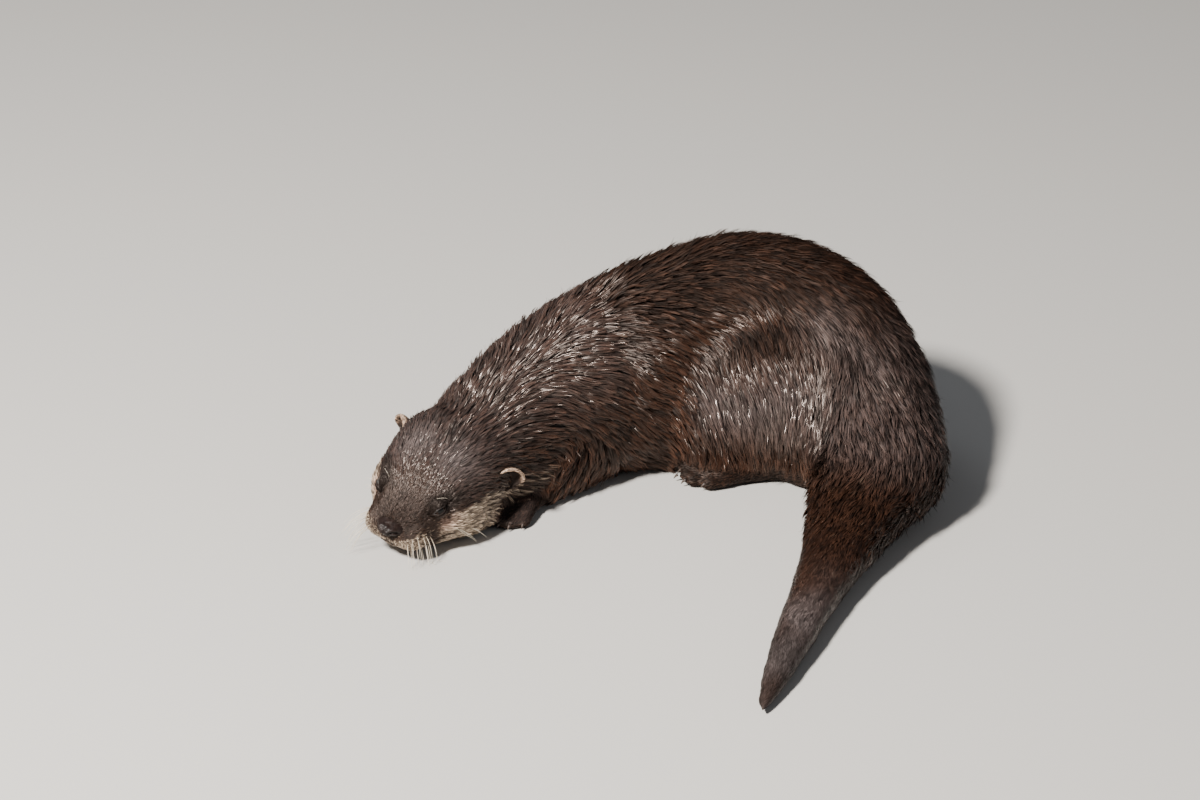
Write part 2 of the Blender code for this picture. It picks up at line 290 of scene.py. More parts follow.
def copy_of_nodes(name, nodes):
    """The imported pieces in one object, each swollen a little so that neighbours overlap."""
    copies = []
    for node in nodes:
        piece = placed(name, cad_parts[node].data.copy())
        edited(piece, bpy.ops.mesh.remove_doubles, threshold=0.001 * MM)
        set_points(piece, points_of(piece) + normals_of(piece) * 0.3 * MM)
        copies.append(piece)
    whole = chosen(*copies)
    if len(copies) > 1:
        bpy.ops.object.join()
    whole.name = name
    return whole


class Hide:
    """A skin's mesh as arrays: its points, and which of them are neighbours."""

    def __init__(self, thing):
        self.thing = thing
        self.points, self.normals = points_of(thing), normals_of(thing)
        self.one, self.other = read(thing.data.edges, "vertices", 2, np.int32).T
        self.count = len(self.points)
        self.neighbours = np.maximum(self.summed(np.ones(self.count)), 1)

    def shift(self, ways, amounts):
        """Moves each point along its way, by millimetres."""
        self.points = self.points + ways * (amounts * MM)[:, None]

    def write(self):
        set_points(self.thing, self.points)
        self.points, self.normals = points_of(self.thing), normals_of(self.thing)

    def summed(self, values):
        """Each point's neighbours' values together."""
        return np.bincount(self.one, values[self.other], self.count) + np.bincount(
            self.other, values[self.one], self.count
        )

    def smoothed(self, values, rounds, share=0.6):
        """Draws each value towards the mean of its neighbours'."""
        shape, columns = np.shape(values), np.asarray(values, float).reshape(self.count, -1)
        for _ in range(rounds):
            means = np.stack([self.summed(column) for column in columns.T], 1) / self.neighbours[:, None]
            columns = columns + (means - columns) * share
        return columns.reshape(shape)


# The face has a frame of its own: millimetres back from the tip of the nose, left and up.
NOSE_BELOW_EYES = math.radians(11.3)
EYE_BACK, EYE_UP = 31.0, 5.0
leftward = (centre("eye_left") - centre("eye_right")).normalized()
between_eyes = (centre("eye_left") + centre("eye_right")) / 2
to_nose = centre("nose") - between_eyes
to_nose = (to_nose - leftward * to_nose.dot(leftward)).normalized()
forward = to_nose * math.cos(NOSE_BELOW_EYES) + to_nose.cross(leftward) * math.sin(NOSE_BELOW_EYES)
upward = forward.cross(leftward)
nose_tip = between_eyes + forward * EYE_BACK * MM - upward * EYE_UP * MM
face_axes = np.array([-forward, leftward, upward])


def on_face(back, left, up):
    return nose_tip + (-forward * back + leftward * left + upward * up) * MM


def face_places(points):
    """Back, left and up in millimetres, for rows of places."""
    return (points - np.array(nose_tip)) @ face_axes.T / MM


whole = copy_of_nodes("skin", PACKED)
flesh_tree = BVHTree.FromPolygons(
    [v.co for v in whole.data.vertices], [tuple(p.vertices) for p in whole.data.polygons]
)
node_of_face = np.repeat(range(len(PACKED)), [len(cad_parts[name].data.polygons) for name in PACKED])
assert len(node_of_face) == len(whole.data.polygons), "a face went missing when the body was joined"
skin = reshaped(whole, "REMESH", mode="VOXEL", voxel_size=SKIN_GRAIN)
hide = Hide(skin)


def nearest_piece():
    """For each point of the hide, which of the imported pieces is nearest."""
    return np.array([node_of_face[flesh_tree.find_nearest(place)[2]] for place in hide.points.tolist()])


def part_share(*names, rounds=10):
    """How far each point of the hide belongs to these parts, from 0 to 1 with a soft edge."""
    inside = np.isin(nearest, [FLESH.index(name) for name in names]).astype(float)
    return hide.smoothed(inside, rounds)


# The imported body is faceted, so the trunk, tail and limbs are smoothed more than face and feet.
nearest = nearest_piece()
fine = part_share("head", "forepaw_left", "forepaw_right", "hindfoot_left", "hindfoot_right", rounds=4)
coarse_smooth = hide.smoothed(hide.points, 34, 0.5)
fine_smooth = hide.smoothed(hide.points, 7, 0.5)
hide.points = coarse_smooth + (fine_smooth - coarse_smooth) * fine[:, None]
hide.write()

# The face is made finer: once back to the ears, again round eyes, nose and lips, and once more at the
# lids. The toes, which the smoothing took away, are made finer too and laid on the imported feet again.
EYE_SHIFT = upward * 2.0 * MM + forward * 1.8 * MM
eye_places = {side: np.array(centre("eye_" + side) + EYE_SHIFT) for side in ("left", "right")}


def from_eyes(points):
    """Millimetres from the middle of the nearer eye."""
    return np.minimum(*(np.linalg.norm(points - place, axis=1) for place in eye_places.values())) / MM


FEET = (
    # piece, its heel as shares of its box, heading in degrees, length and width in millimetres, side
    ("hindfoot_left", (0.934, 0.539), 184, 82, 34, 1),
    ("hindfoot_right", (0.922, 0.508), 176, 82, 34, -1),
    ("forepaw_left", (0.822, 0.779), 232, 46, 28, 1),
    ("forepaw_right", (0.710, 0.837), 228, 46, 28, -1),
)
TOES = ((0.80, 0.44), (0.95, 0.26), (1.0, 0.03), (0.96, -0.20), (0.86, -0.42))  # reach and aside, as shares
TOE_UP = 4.2


def pointing(heading):
    """The level way with this heading in degrees."""
    return Vector((math.cos(math.radians(heading)), math.sin(math.radians(heading)), 0))


toes = []  # tip, root and foot of each
for name, heel_at, heading, long, wide, sign in FEET:
    heel = spot(name, *heel_at, 0)
    ahead = pointing(heading)
    aside = Vector((-ahead.y, ahead.x, 0)) * sign
    for reach, across in TOES:
        tip = heel + (ahead * reach * long + aside * across * wide) * MM
        root = heel + (ahead * 0.55 * long + aside * across * 0.7 * wide) * MM
        toes.append((tip, root, name))
toe_tree = tree_of([tip * 0.75 + root * 0.25 + Vector((0, 0, TOE_UP)) * MM for tip, root, _ in toes])


def from_toes(points):
    """Millimetres from the middle of the nearest toe."""
    return np.array([toe_tree.find(place)[2] for place in points]) / MM


def behind_nose(points):
    return face_places(points)[:, 0]


# How a place is measured, and within what millimetres the faces are halved.
FINER = ((behind_nose, 70), (behind_nose, 46), (from_eyes, 12), (from_toes, 9.5))
for measure, reach in FINER:
    inside = measure(hide.points) < reach
    chosen(skin)
    skin.data.vertices.foreach_set("select", inside)
    skin.data.edges.foreach_set("select", inside[hide.one] & inside[hide.other])
    faces = skin.data.polygons
    faces.foreach_set("select", [all(inside[i] for i in face.vertices) for face in faces])
    bpy.ops.object.mode_set(mode="EDIT")
    bpy.ops.mesh.subdivide(number_cuts=1, ngon=False)
    bpy.ops.object.mode_set(mode="OBJECT")
    hide = Hide(skin)
    near = ramp(measure(hide.points), reach + 3, reach - 3)[:, None]
    rounds = 5
    if measure is from_toes:
        moved = np.array([tuple(flesh_tree.find_nearest(place)[0]) for place in hide.points])
        hide.points = hide.points + (moved - hide.points) * near
        rounds = 2
    hide.points = hide.points + (hide.smoothed(hide.points, rounds, 0.5) - hide.points) * near
    hide.write()
nearest = nearest_piece()
nearest[nearest >= len(FLESH)] = FLESH.index("head")

# The lie of the coat is led by a line along the spine, from the nose to the tip of the tail.
NAPE = ((2, 0, 0), (31, 0, 3), (60, 0, 0), (84, 0, -2))  # in the frame of the face
SPINE = (
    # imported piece, and shares of its box
    ("neck", .47, .36, .44), ("neck", .81, .69, .52), ("chest", .53, .49, .42), ("chest", .84, .585, .48),
    ("loin", .245, .644, .50), ("loin", .494, .58, .476), ("loin", .655, .44, .386),
    ("loin", .726, .237, .276), ("tail_root", .64, .80, .42), ("tail_root", .44, .35, .34),
    ("tail_middle", .55, .68, .42), ("tail_middle", .25, .10, .38),
    ("tail_tip", .42, .42, .36), ("tail_tip", .06, .02, .30),
)


def through(knots, steps):
    """A smooth curve through the knots, with this many steps between two of them."""
    rows = np.array([tuple(knot) for knot in (knots[0], *knots, knots[-1])])
    t = np.linspace(0, 1, steps, endpoint=False)[:, None]
    found = [
        0.5 * (2 * b + (c - a) * t + (2 * a - 5 * b + 4 * c - d) * t**2 + (3 * b - a - 3 * c + d) * t**3)
        for a, b, c, d in zip(rows, rows[1:], rows[2:], rows[3:])
    ]
    return np.concatenate([*found, rows[-1:]])


spine = through([on_face(*knot) for knot in NAPE] + [spot(*knot) for knot in SPINE], 24)
spine_way = unit(np.gradient(spine, axis=0))
spine_at = np.concatenate([[0], np.cumsum(np.linalg.norm(np.diff(spine, axis=0), axis=1))]) / MM
spine_tree = tree_of(spine)
on_spine = np.array([spine_tree.find(place)[1] for place in hide.points])
along = spine_at[on_spine]
feet = part_share("forepaw_left", "forepaw_right", "hindfoot_left", "hindfoot_right", rounds=5)
HEAD_END = 92
on_head = ramp(along, HEAD_END + 22, HEAD_END - 6)

# Depth of the coat, in millimetres, by millimetres along the spine.
COAT_DEPTH = (
    (0, 0.5), (20, 0.7), (36, 1.0), (60, 1.7), (84, 2.4), (115, 3.2), (170, 3.7), (316, 3.7), (401, 4.0),
    (470, 4.4), (520, 3.4), (560, 2.0), (620, 1.2), (700, 0.9), (751, 0.6),
)
SOLE_DEPTH = 0.5  # of the coat on the feet, and where the hide lies on the floor
depth = np.interp(along, *zip(*COAT_DEPTH))
flat = ramp(hide.points[:, 2], 9 * MM, 2 * MM) * ramp(-hide.normals[:, 2], 0.2, 0.8)
for share in (feet, flat):
    depth = depth + (SOLE_DEPTH - depth) * share
depth = hide.smoothed(depth, 6)
inward = unit(hide.smoothed(hide.normals, 4))
hide.shift(inward, -depth)
hide.points = hide.smoothed(hide.points, 2, 0.4)
hide.write()


def from_line(places, knots, steps=12):
    """Distance from places to a smooth line through the knots, and how far along it the nearest point is."""
    line = through([np.array(knot, float) for knot in knots], steps)
    near = np.full(len(places), np.inf)
    share = np.zeros(len(places))
    for i, place in enumerate(line):
        gap = np.linalg.norm(places - place, axis=1)
        share = np.where(gap < near, i / (len(line) - 1), share)
        near = np.minimum(near, gap)
    return near, share


def along_course(width, node, *places):
    """A soft band on the hide, this wide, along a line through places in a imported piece."""
    gap, _ = from_line(hide.points / MM, [spot(node, *shares) / MM for shares in places])
    return bump_at(gap, width)


# Each eyeball is set in a slit between two lids. The slit is drawn on the ball: millimetres back along
# the slit and up across it. The upper lid hangs lower than the ball's middle, as in a dozing animal.
EYE_RADIUS = 5.4
SLIT_HALF = 4.7
eye_axes = {}
for side, sign in (("left", 1), ("right", -1)):
    outward = (forward * 0.36 + leftward * 0.82 * sign + upward * 0.42).normalized()
    backward = -forward * 0.97 + upward * 0.10
    backward = (backward - outward * backward.dot(outward)).normalized()
    upright = outward.cross(backward)
    if upright.dot(upward) < 0:
        upright.negate()
    eye_axes[side] = np.array([backward, upright, outward])


def upper_edge(x):
    return 1.75 * (1 - (x / SLIT_HALF) ** 2) - 0.10 * x


def lower_edge(x):
    return -1.85 * (1 - (x / SLIT_HALF) ** 2) - 0.10 * x


lid_shade = np.zeros(hide.count)
bare = np.zeros(hide.count)
for side, axes in eye_axes.items():
    from_middle = (hide.points - eye_places[side]) / MM
    reach = np.linalg.norm(from_middle, axis=1)
    x, y, out = (unit(from_middle) @ axes.T * EYE_RADIUS).T
    outside = np.maximum(np.maximum(y - upper_edge(x), lower_edge(x) - y), np.abs(x) - SLIT_HALF)
    facing = (out > 0) & (reach < 14)
    over_ball = EYE_RADIUS + 0.15 + 0.75 * ramp(outside, 0, 0.7)
    in_slit = EYE_RADIUS - 1.3 * ramp(-outside, 0, 0.5)
    lid = np.where(outside > 0, over_ball, in_slit) + 0.25 * bump_at(outside - 1.0, 0.6)
    fold_above = bump_at(outside - 3.1, 0.8) * ramp(y, 0.5, 2.5)
    fold_below = bump_at(outside - 2.4, 0.7) * ramp(-y, 0.5, 2.0)
    brow = bump_at(outside - 5.2, 1.6) * ramp(y, 1.5, 4.0)
    own = reach - 0.85 * fold_above - 0.45 * fold_below + 1.5 * brow
    made = own + (lid - own) * ramp(outside, 3.2, 1.0)
    made = np.where(outside > 0.7, np.maximum(made, EYE_RADIUS + 0.55), made)
    moved = eye_places[side] + unit(from_middle) * (made * MM)[:, None]
    hide.points = np.where(facing[:, None], moved, hide.points)
    lid_shade = np.maximum(lid_shade, facing * ramp(outside - 1.3 * (y > 0), 1.1, 0.3))
    bare = np.maximum(bare, facing * ramp(outside, 1.3, 0.5))
hide.write()
NOSE_MIDDLE = (3.5, 0, -0.5)
NOSE_RADII = (7.7, 8.5, 5.5)
from_nose = np.linalg.norm((face_places(hide.points) - NOSE_MIDDLE) / NOSE_RADII, axis=1)
bare = np.maximum(bare, ramp(from_nose, 1.02, 0.9))

# The rest of the face: a mouth line under full upper lips, the cleft below the nose, a soft edge behind
# each whisker pad, and the crease that runs from the inner corner of the eye towards the nose.
hide_tree = BVHTree.FromObject(skin, bpy.context.evaluated_depsgraph_get())


def on_hide(places):
    """The nearest places on the hide, in the frame of the face."""
    found = [np.array(hide_tree.find_nearest(on_face(*place))[0]) for place in places]
    return face_places(np.array(found))


MOUTH = (
    (3, 0, -11.5), (3.6, 4, -13.5), (5.2, 9, -15), (8.5, 14.5, -15.5), (13, 19.5, -15), (20, 23, -14),
    (28, 25.5, -12.5), (35, 27, -10),
)
CREASES = (
    # line in the face's frame, for the left side, with the depth and width of the crease
    (MOUTH, 1.3, 0.9),
    (((2.2, 0, -6.5), (2.6, 0, -9), (3.0, 0, -12)), 0.7, 0.6),
    (((3.5, 8.5, 1.5), (8, 13, 4), (14, 17, 4), (20, 21, 1)), 0.5, 2.2),
    (((26.5, 17.0, 1.5), (23.5, 15.0, 0.5), (20, 13.5, 0.5)), 0.45, 0.9),
    (((37, 22, 9), (43, 25, 10), (50, 28, 9)), 0.35, 1.3),
    (((24, 21, -3), (31, 24.5, -4.5), (39, 26, -3.5)), 0.4, 1.5),
)
FACE_END = 60
WHISKER_PAD = (9, 12.5, -9)
near_face = np.flatnonzero(face_places(hide.points)[:, 0] < FACE_END)
own_side = face_places(hide.points[near_face])
own_side[:, 1] = np.abs(own_side[:, 1])
push = np.zeros(hide.count)
mouth_shade = np.zeros(hide.count)
for line, deep, wide in CREASES:
    gap, share = from_line(own_side, on_hide(line))
    fading = np.minimum(1, 1.6 * (1 - np.abs(2 * share - 1)) + 0.35)
    push[near_face] -= deep * bump_at(gap, wide) * fading
    if line is MOUTH:
        mouth_shade[near_face] = bump_at(gap, 1.0)
        below = ramp(own_side[:, 2], -13.5, -17.5) * ramp(own_side[:, 0], 34, 22) * ramp(gap, 0.4, 1.6)
        push[near_face] -= 0.9 * below
push[near_face] += 0.7 * bump_at(np.linalg.norm(own_side - WHISKER_PAD, axis=1), 7.5)
hide.shift(hide.normals, push)
hide.write()

# Folds of loose hide on the body: behind the shoulder, round the front of the thigh, where the thigh
# meets the root of the tail, and under the throat. Each is a shallow valley with a soft ridge beside it.
BODY_FOLDS = (
    # depth, width, and where it runs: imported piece, and shares of its box
    (4.0, 10, (
        ("chest", .42, .56, .88), ("chest", .51, .41, .80), ("chest", .60, .23, .67),
        ("chest", .63, .17, .45), ("chest", .59, .16, .25), ("chest", .46, .10, .13),
    )),
    (3.0, 9, (
        ("loin", -.04, .40, .07), ("loin", -.06, .36, .25), ("loin", -.07, .34, .40),
        ("loin", -.02, .36, .52), ("loin", .03, .37, .62), ("loin", .11, .38, .68),
        ("loin", .20, .39, .73), ("loin", .33, .39, .76), ("loin", .42, .37, .75),
    )),
    (2.6, 7, (
        ("loin", .48, .27, .55), ("loin", .515, .19, .42), ("loin", .50, .11, .30),
        ("tail_root", .14, .78, .50),
    )),
    (2.0, 7, (("neck", .98, .02, .42), ("neck", .80, .10, .28), ("neck", .62, .02, .18))),
)
push = np.zeros(hide.count)
fold_shade = np.zeros(hide.count)
for deep, wide, knots in BODY_FOLDS:
    gap, share = from_line(hide.points / MM, [spot(*knot) / MM for knot in knots])
    fading = np.minimum(1, 2 * (1 - np.abs(2 * share - 1)) + 0.15)
    push -= deep * (bump_at(gap, wide) - 0.08 * bump_at(gap - 1.7 * wide, wide)) * fading
    # The middle of each fold is painted darker later, as painted shade.
    fold_shade = np.maximum(fold_shade, bump_at(gap, 0.8 * wide) * fading)
# The point of the elbow shows as a soft bulge low behind the throat, and the hide is never quite even.
elbow = along_course(13, "foreleg_left", (.45, .22, .30), (.85, .46, .32)) * (1 - feet)
push += 2.6 * elbow + 0.75 * noise_at(hide.points, 62) * ramp(along, 70, 130) * (1 - feet)
LOWEST_SKIN = 0.3 * MM
hide.shift(hide.normals, push * (1 - flat))
hide.points[:, 2] = np.maximum(hide.points[:, 2], LOWEST_SKIN)
hide.write()


# ---- markings
# Chocolate brown above and on the tail. Cheeks, lips, chin and throat are pale buff, and the underside
# is a lighter brown. A silvery painted sheen lies on crown, thigh, hip and tail where the fur is wet,
# painted shade darkens the top of the back and the folds, and where the fur has dried it is dull. The same
# measures colour the hide and each lock that grows from it.
back, left, up = face_places(hide.points).T
side = np.abs(left)
high = ramp(hide.points[:, 2], 0.03, 0.06)  # a little above the floor


def face_patch(middle, width, stretch=(1, 1, 1)):
    """A soft patch on both sides of the face. Its middle is back, aside and up from the nose's tip."""
    return bump_at(np.linalg.norm((np.stack([back, side, up], 1) - middle) * stretch, axis=1), width)


# Buff: the paler parts.
below_eye = -up + 1.6 + 0.03 * np.maximum(back - 31, 0) - 0.25 * np.maximum(back - 72, 0)
cheek = ramp(back, 20, 28) * ramp(below_eye, -4.6, 0.4) * ramp(back, 124, 104)
cheek = cheek * (0.48 + 0.52 * ramp(back, 88, 38))
lips = ramp(back, 22, 9) * ramp(-up + 0.25 * np.maximum(side - 8, 0), 2.5, 8.0)
throat = ramp(-up, 15, 24) * ramp(back, 8, 18) * ramp(back, 118, 84)
arms = part_share("foreleg_left", "foreleg_right", rounds=14)
buff = np.clip(np.maximum(np.maximum(0.97 * cheek, 0.80 * lips), 0.8 * throat), 0, 1) * ramp(along, 150, 100)
buff = buff * (1 - np.clip(1.6 * feet, 0, 1)) * (1 - arms)
buff = np.maximum(buff, 0.56 * face_patch((13, 16, -8), 9) * (side > 5))

# Dark: the lids and the skin round them, painted shade along the mouth line, darker fur round each eye
# with a painted brow shadow over it, and the top of the muzzle.
eye_ring_and_brow_shadow = ramp(np.hypot((back - 35) / 13, (up - 10.0) / 5.2), 1.15, 0.55) * ramp(side, 9, 14)
muzzle = 0.50 * ramp(back, 50, 16) * ramp(up, -4.5, 1.5)
dark = np.clip(lid_shade + mouth_shade * 0.8 + 0.85 * eye_ring_and_brow_shadow + muzzle, 0, 1)
pink = face_patch((33, 22, -1.5), 6.5, (1 / 1.4, 1, 1)) * (side > 8)

# Warm: the underside, the elbow, and the long fluffy fur in front of the thigh.
under = ramp(-hide.normals[:, 2], 0.15, 0.8) * ramp(along, 90, 150) * ramp(along, 560, 470)
warm = np.clip(0.40 * ramp(along, 100, 170) + 0.5 * under + 0.3 * arms, 0, 1) + 1.1 * elbow
ruff = along_course(11, "loin", (-.08, .40, .10), (-.10, .36, .30), (-.09, .36, .50)) * (1 - feet)
warm = np.clip(warm + 0.5 * ruff, 0, 1.5)

# Painted sheen where the fur is wet: crown, thigh, hip and flank in patches, and the outer tail. The top of
# the back gets painted shade.
spine_top = ramp(hide.normals[:, 2], 0.2, 0.7) * ramp(along, 210, 245) * ramp(along, 455, 405)
crown = ramp(back, 38, 62) * ramp(along, 235, 190) * ramp(hide.normals[:, 2], 0, 0.6)
sheen = face_patch((51, 13, 20), 15, (1, 1.1, 0.5))
flank = ramp(along, 365, 415) * ramp(along, 530, 485) * ramp(-hide.normals[:, 1], -0.5, 0.2) * high
thigh_top = along_course(18, "hindleg_left", (0.10, 0.41, 0.58), (0.31, 0.31, 0.55), (0.56, 0.26, 0.66))
haunch = part_share("hindleg_left", "hindleg_right", rounds=12) * high
haunch = haunch * (1 - spine_top) * (0.17 + 0.36 * thigh_top)
hip_top = along_course(17, "loin", (0.50, 0.37, 0.75), (0.62, 0.32, 0.69), (0.71, 0.27, 0.62))
wet_parts = np.maximum(np.maximum(haunch, 0.34 * flank), 0.46 * hip_top)
tail = ramp(along, 575, 690) * (0.86 + 1.1 * noise_at(hide.points, 40)).clip(0.3, 1)
painted_sheen = np.maximum(tail, 0.18 * crown + wet_parts + 0.58 * sheen)
# Lighter fur in the ruff and at the elbow, slightly darker fur towards the tail root; painted shade on the
# top of the back and in the folds; painted highlights on the crown and the hip.
fur_tone_and_painted_light = 0.30 * ruff + 0.25 * elbow - 0.28 * spine_top - 0.28 * fold_shade - 0.04 * ramp(along, 500, 560)
fur_tone_and_painted_light = fur_tone_and_painted_light + 0.10 * sheen + 0.12 * hip_top

# Dry: the top of the back, the rump, the feet and the pale parts.
dry = 0.05 + 0.85 * spine_top
dry = dry + 0.35 * ramp(along, 425, 470) * ramp(along, 560, 500) * (1 - flank)
for other in (0.75 * buff, 0.9 * feet, 0.6 * under, 0.75 * ramp(back, 34, 18), 0.9 * dark):
    dry = np.maximum(dry, other)
dry = np.clip(dry, 0, 1)
buff = hide.smoothed(buff, 3) * (1 - dark)
buff = np.where(back < 2.5, buff * 0.6, buff)
sleek = ramp(along, 530, 620)  # so short and close that no gap shows


# ---- lie of the coat
# The coat runs from the nose over the crown and along the spine, down the flanks and thighs, and on
# along the tail. Down the limbs it follows them to the toes.
DOWN = np.array((0, 0, -1.0))
face_lie = unit(hide.points - np.array(on_face(-24, 0, 0)))
droop = 0.50 * ramp(back, 30, 62) * ramp(side, 14, 30) + 0.55 * ramp(back, 40, 10) * ramp(-up, 2, 10)
face_lie = face_lie - np.array(upward) * droop[:, None]
thighs = part_share("hindleg_left", "hindleg_right", rounds=30)
falling = (0.75 * ramp(along, 95, 150) * ramp(along, 480, 400) + 0.75 * thighs) * (1 - 0.6 * under)
body_lie = spine_way[on_spine] * (1 - 0.45 * thighs)[:, None] + DOWN * falling[:, None]
lie = body_lie + (face_lie - body_lie) * on_head[:, None]
for paw, _, heading, *_ in FEET:
    share = part_share(paw, rounds=8)[:, None]
    lie = lie * (1 - share) + (np.array(pointing(heading)) + DOWN * 0.15) * share
for leg, paw in (("foreleg_left", "forepaw_left"), ("foreleg_right", "forepaw_right")):
    share = part_share(leg, rounds=10)[:, None] * 0.7
    lie = lie * (1 - share) + unit(np.array(centre(paw) - centre(leg))) * share


def laid(ways, normals):
    """Ways along the surface, with what points into it or out of it taken away."""
    return unit(ways - normals * np.sum(ways * normals, axis=1, keepdims=True))


lie = laid(lie, hide.normals)
lie = laid(hide.smoothed(lie, 12), hide.normals)


def coloured(mesh, name, *columns):
    """Stores four measures of each point as one colour attribute."""
    values = np.stack(np.broadcast_arrays(*columns), axis=-1).astype(np.float32)
    mesh.attributes.new(name, "FLOAT_COLOR", "POINT").data.foreach_set("color", values.ravel())


# Each point keeps two colours: "lock" is how near the tip, shade, buff and warm, and "tint" is painted
# sheen, dark, dry and pink.
# The hide takes the near-black root colour, painted shade that shows between the locks; under the sleek tail
# fur it is lighter.
coloured(skin.data, "lock", 0.05 + 0.55 * sleek, 0.4, buff, warm)
coloured(skin.data, "tint", painted_sheen, dark, dry, pink)
WARMER = (1.9, 1.95, 2.0)  # what warmth does to red, green and blue
PINK_SKIN = (0.40, 0.235, 0.185)
DARK_SKIN_AND_SHADE = (0.008, 0.005, 0.004)


def coat_finish(name, colours, roughness, gloss, bump=0):
    """Hair over hide: near black at the root as painted shade deep in the coat, lighter at the tip, buff
    where the markings say so, and paler grey where painted sheen lies.
    """
    root, tip, buff_root, buff_tip, sheen_grey = colours
    finish = Finish(name)
    lock, tint = finish.stored("lock"), finish.stored("tint")
    parts = finish.node("SeparateColor", {"Color": lock["Color"]}).outputs
    tints = finish.node("SeparateColor", {"Color": tint["Color"]}).outputs
    blotch = finish.blotches(38, 3)

    warm_tip = tuple(min(1, c * k) for c, k in zip(tip, WARMER))
    tip = finish.mixed(finish.maths("MULTIPLY", lock["Alpha"], blotch), tip, warm_tip)
    # Near black at the root: painted shade deep in the coat.
    brown = finish.mixed(parts["Red"], root, tip)
    pale = finish.mixed(tint["Alpha"], finish.mixed(parts["Red"], buff_root, buff_tip), PINK_SKIN)
    colour = finish.mixed(parts["Blue"], brown, pale)
    # Painted sheen: a paler grey where the first share of the tint says so.
    colour = finish.mixed(finish.maths("MULTIPLY", tints["Red"], 0.75), colour, sheen_grey)
    shade = finish.mixed(parts["Green"], (0.2, 0.2, 0.2), (1.9, 1.9, 1.9))
    colour = finish.mixed(1, colour, shade, blend_type="MULTIPLY")

    rough = finish.node("MapRange", {
        "Value": finish.maths("ADD", blotch, parts["Green"]), "From Min": 0.6, "From Max": 1.4,
        "To Min": roughness + 0.14, "To Max": roughness - 0.07,
    }).outputs["Result"]
    # Dark skin, and painted shade along the mouth line, round the eyes and deep in the ears, where the
    # second share of the tint says so.
    inputs = {
        "Base Color": finish.mixed(tints["Green"], colour, DARK_SKIN_AND_SHADE),
        "Roughness": finish.maths("ADD", rough, finish.maths("MULTIPLY", tints["Blue"], 0.30)),
        "Specular IOR Level": gloss, "Specular Tint": (1, 0.84, 0.76),
    }
    if bump:
        inputs["Normal"] = finish.raised(finish.blotches(900), 0.6, bump * MM)
    return finish.surface(inputs)


BROWN = (
    # root (near black, painted shade deep in the coat), tip, buff root, buff tip, painted sheen
    (0.0022, 0.0010, 0.0006), (0.0385, 0.0172, 0.0102), (0.040, 0.0217, 0.0125), (0.70, 0.56, 0.42),
    (0.115, 0.097, 0.095),
)
hide_finish = coat_finish("hide", BROWN, 0.6, 0.2, bump=0.25)
body_finish = coat_finish("brown_coat", BROWN, 0.25, 0.45)
wet_finish = coat_finish("wet_brown_coat", BROWN, 0.26, 1.0)
dry_finish = coat_finish("dry_brown_coat", BROWN, 0.30, 0.2)
skin.data.materials.clear()
skin.data.materials.append(hide_finish)
shaded_smooth(skin)
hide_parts(*FLESH)
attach(skin, "root")


def unwrapped(thing, margin, **options):
    """Gives all of a surface, and so each lock on it, a place on a UV map named OFBake."""
    edited(thing, bpy.ops.uv.smart_project, angle_limit=math.radians(72), island_margin=margin, **options)
    thing.data.uv_layers[0].name = "OFBake"


unwrapped(skin, 0.002, scale_to_bounds=True)


# ---- coat
# Wet guard hair in pointed locks, each a thin ridged blade that follows the hide. Locks lean together in
# clumps on head, neck and shoulders, lie finer and sleeker on the back and thighs, stand shaggy round
# the rump, and shrink to short fur on the muzzle, tail and feet.
COAT = (
    # along the spine, length, width, clumping, locks to a square millimetre, how unevenly they stand
    (0, 1.7, 0.28, 0.10, 3.4, 0.15),
    (20, 3.0, 0.30, 0.30, 3.0, 0.20),
    (36, 5.8, 0.36, 0.70, 2.1, 0.30),
    (60, 9.5, 0.43, 0.90, 1.25, 0.40),
    (90, 12.0, 0.52, 0.90, 0.88, 0.50),
    (130, 13.5, 0.56, 0.88, 0.70, 0.50),
    (200, 14.5, 0.56, 0.80, 0.68, 0.50),
    (262, 14.5, 0.54, 0.88, 0.68, 0.60),
    (300, 14.5, 0.50, 0.55, 0.74, 0.35),
    (401, 14.5, 0.50, 0.55, 0.76, 0.40),
    (470, 16.0, 0.58, 0.70, 0.66, 0.70),
    (520, 13.0, 0.56, 0.55, 0.66, 0.50),
    (570, 9.0, 0.46, 0.30, 0.84, 0.20),
    (620, 6.5, 0.38, 0.15, 1.10, 0.10),
    (751, 4.0, 0.34, 0.10, 1.35, 0.10),
)
FOOT_LENGTH, FOOT_WIDTH, FOOT_DENSITY = 2.6, 0.40, 1.05
stations, *columns = zip(*COAT)
length, width, clumping, density, spread = (np.interp(along, stations, column) for column in columns)
near_eye = ramp(from_eyes(hide.points), 14, 7)
length = (length + (FOOT_LENGTH - length) * feet) * (1 - 0.62 * near_eye)
width = (width + (FOOT_WIDTH - width) * feet) * (1 - 0.35 * near_eye)
density = density + (FOOT_DENSITY - density) * feet
density = density * (1 + 0.9 * near_eye) * (1 - 0.65 * flat) * (1 - bare)
clumping = clumping * (1 - feet)
# Locks to a clump, and how high the ridge of a lock is, by its width.
gather = np.interp(along, (0, 30, 50, 110, 200, 751), (4, 5, 8, 7, 5, 4))
ridge = np.interp(along, (0, 210, 300, 530, 610, 751), (0.40, 0.42, 0.20, 0.24, 0.10, 0.10))

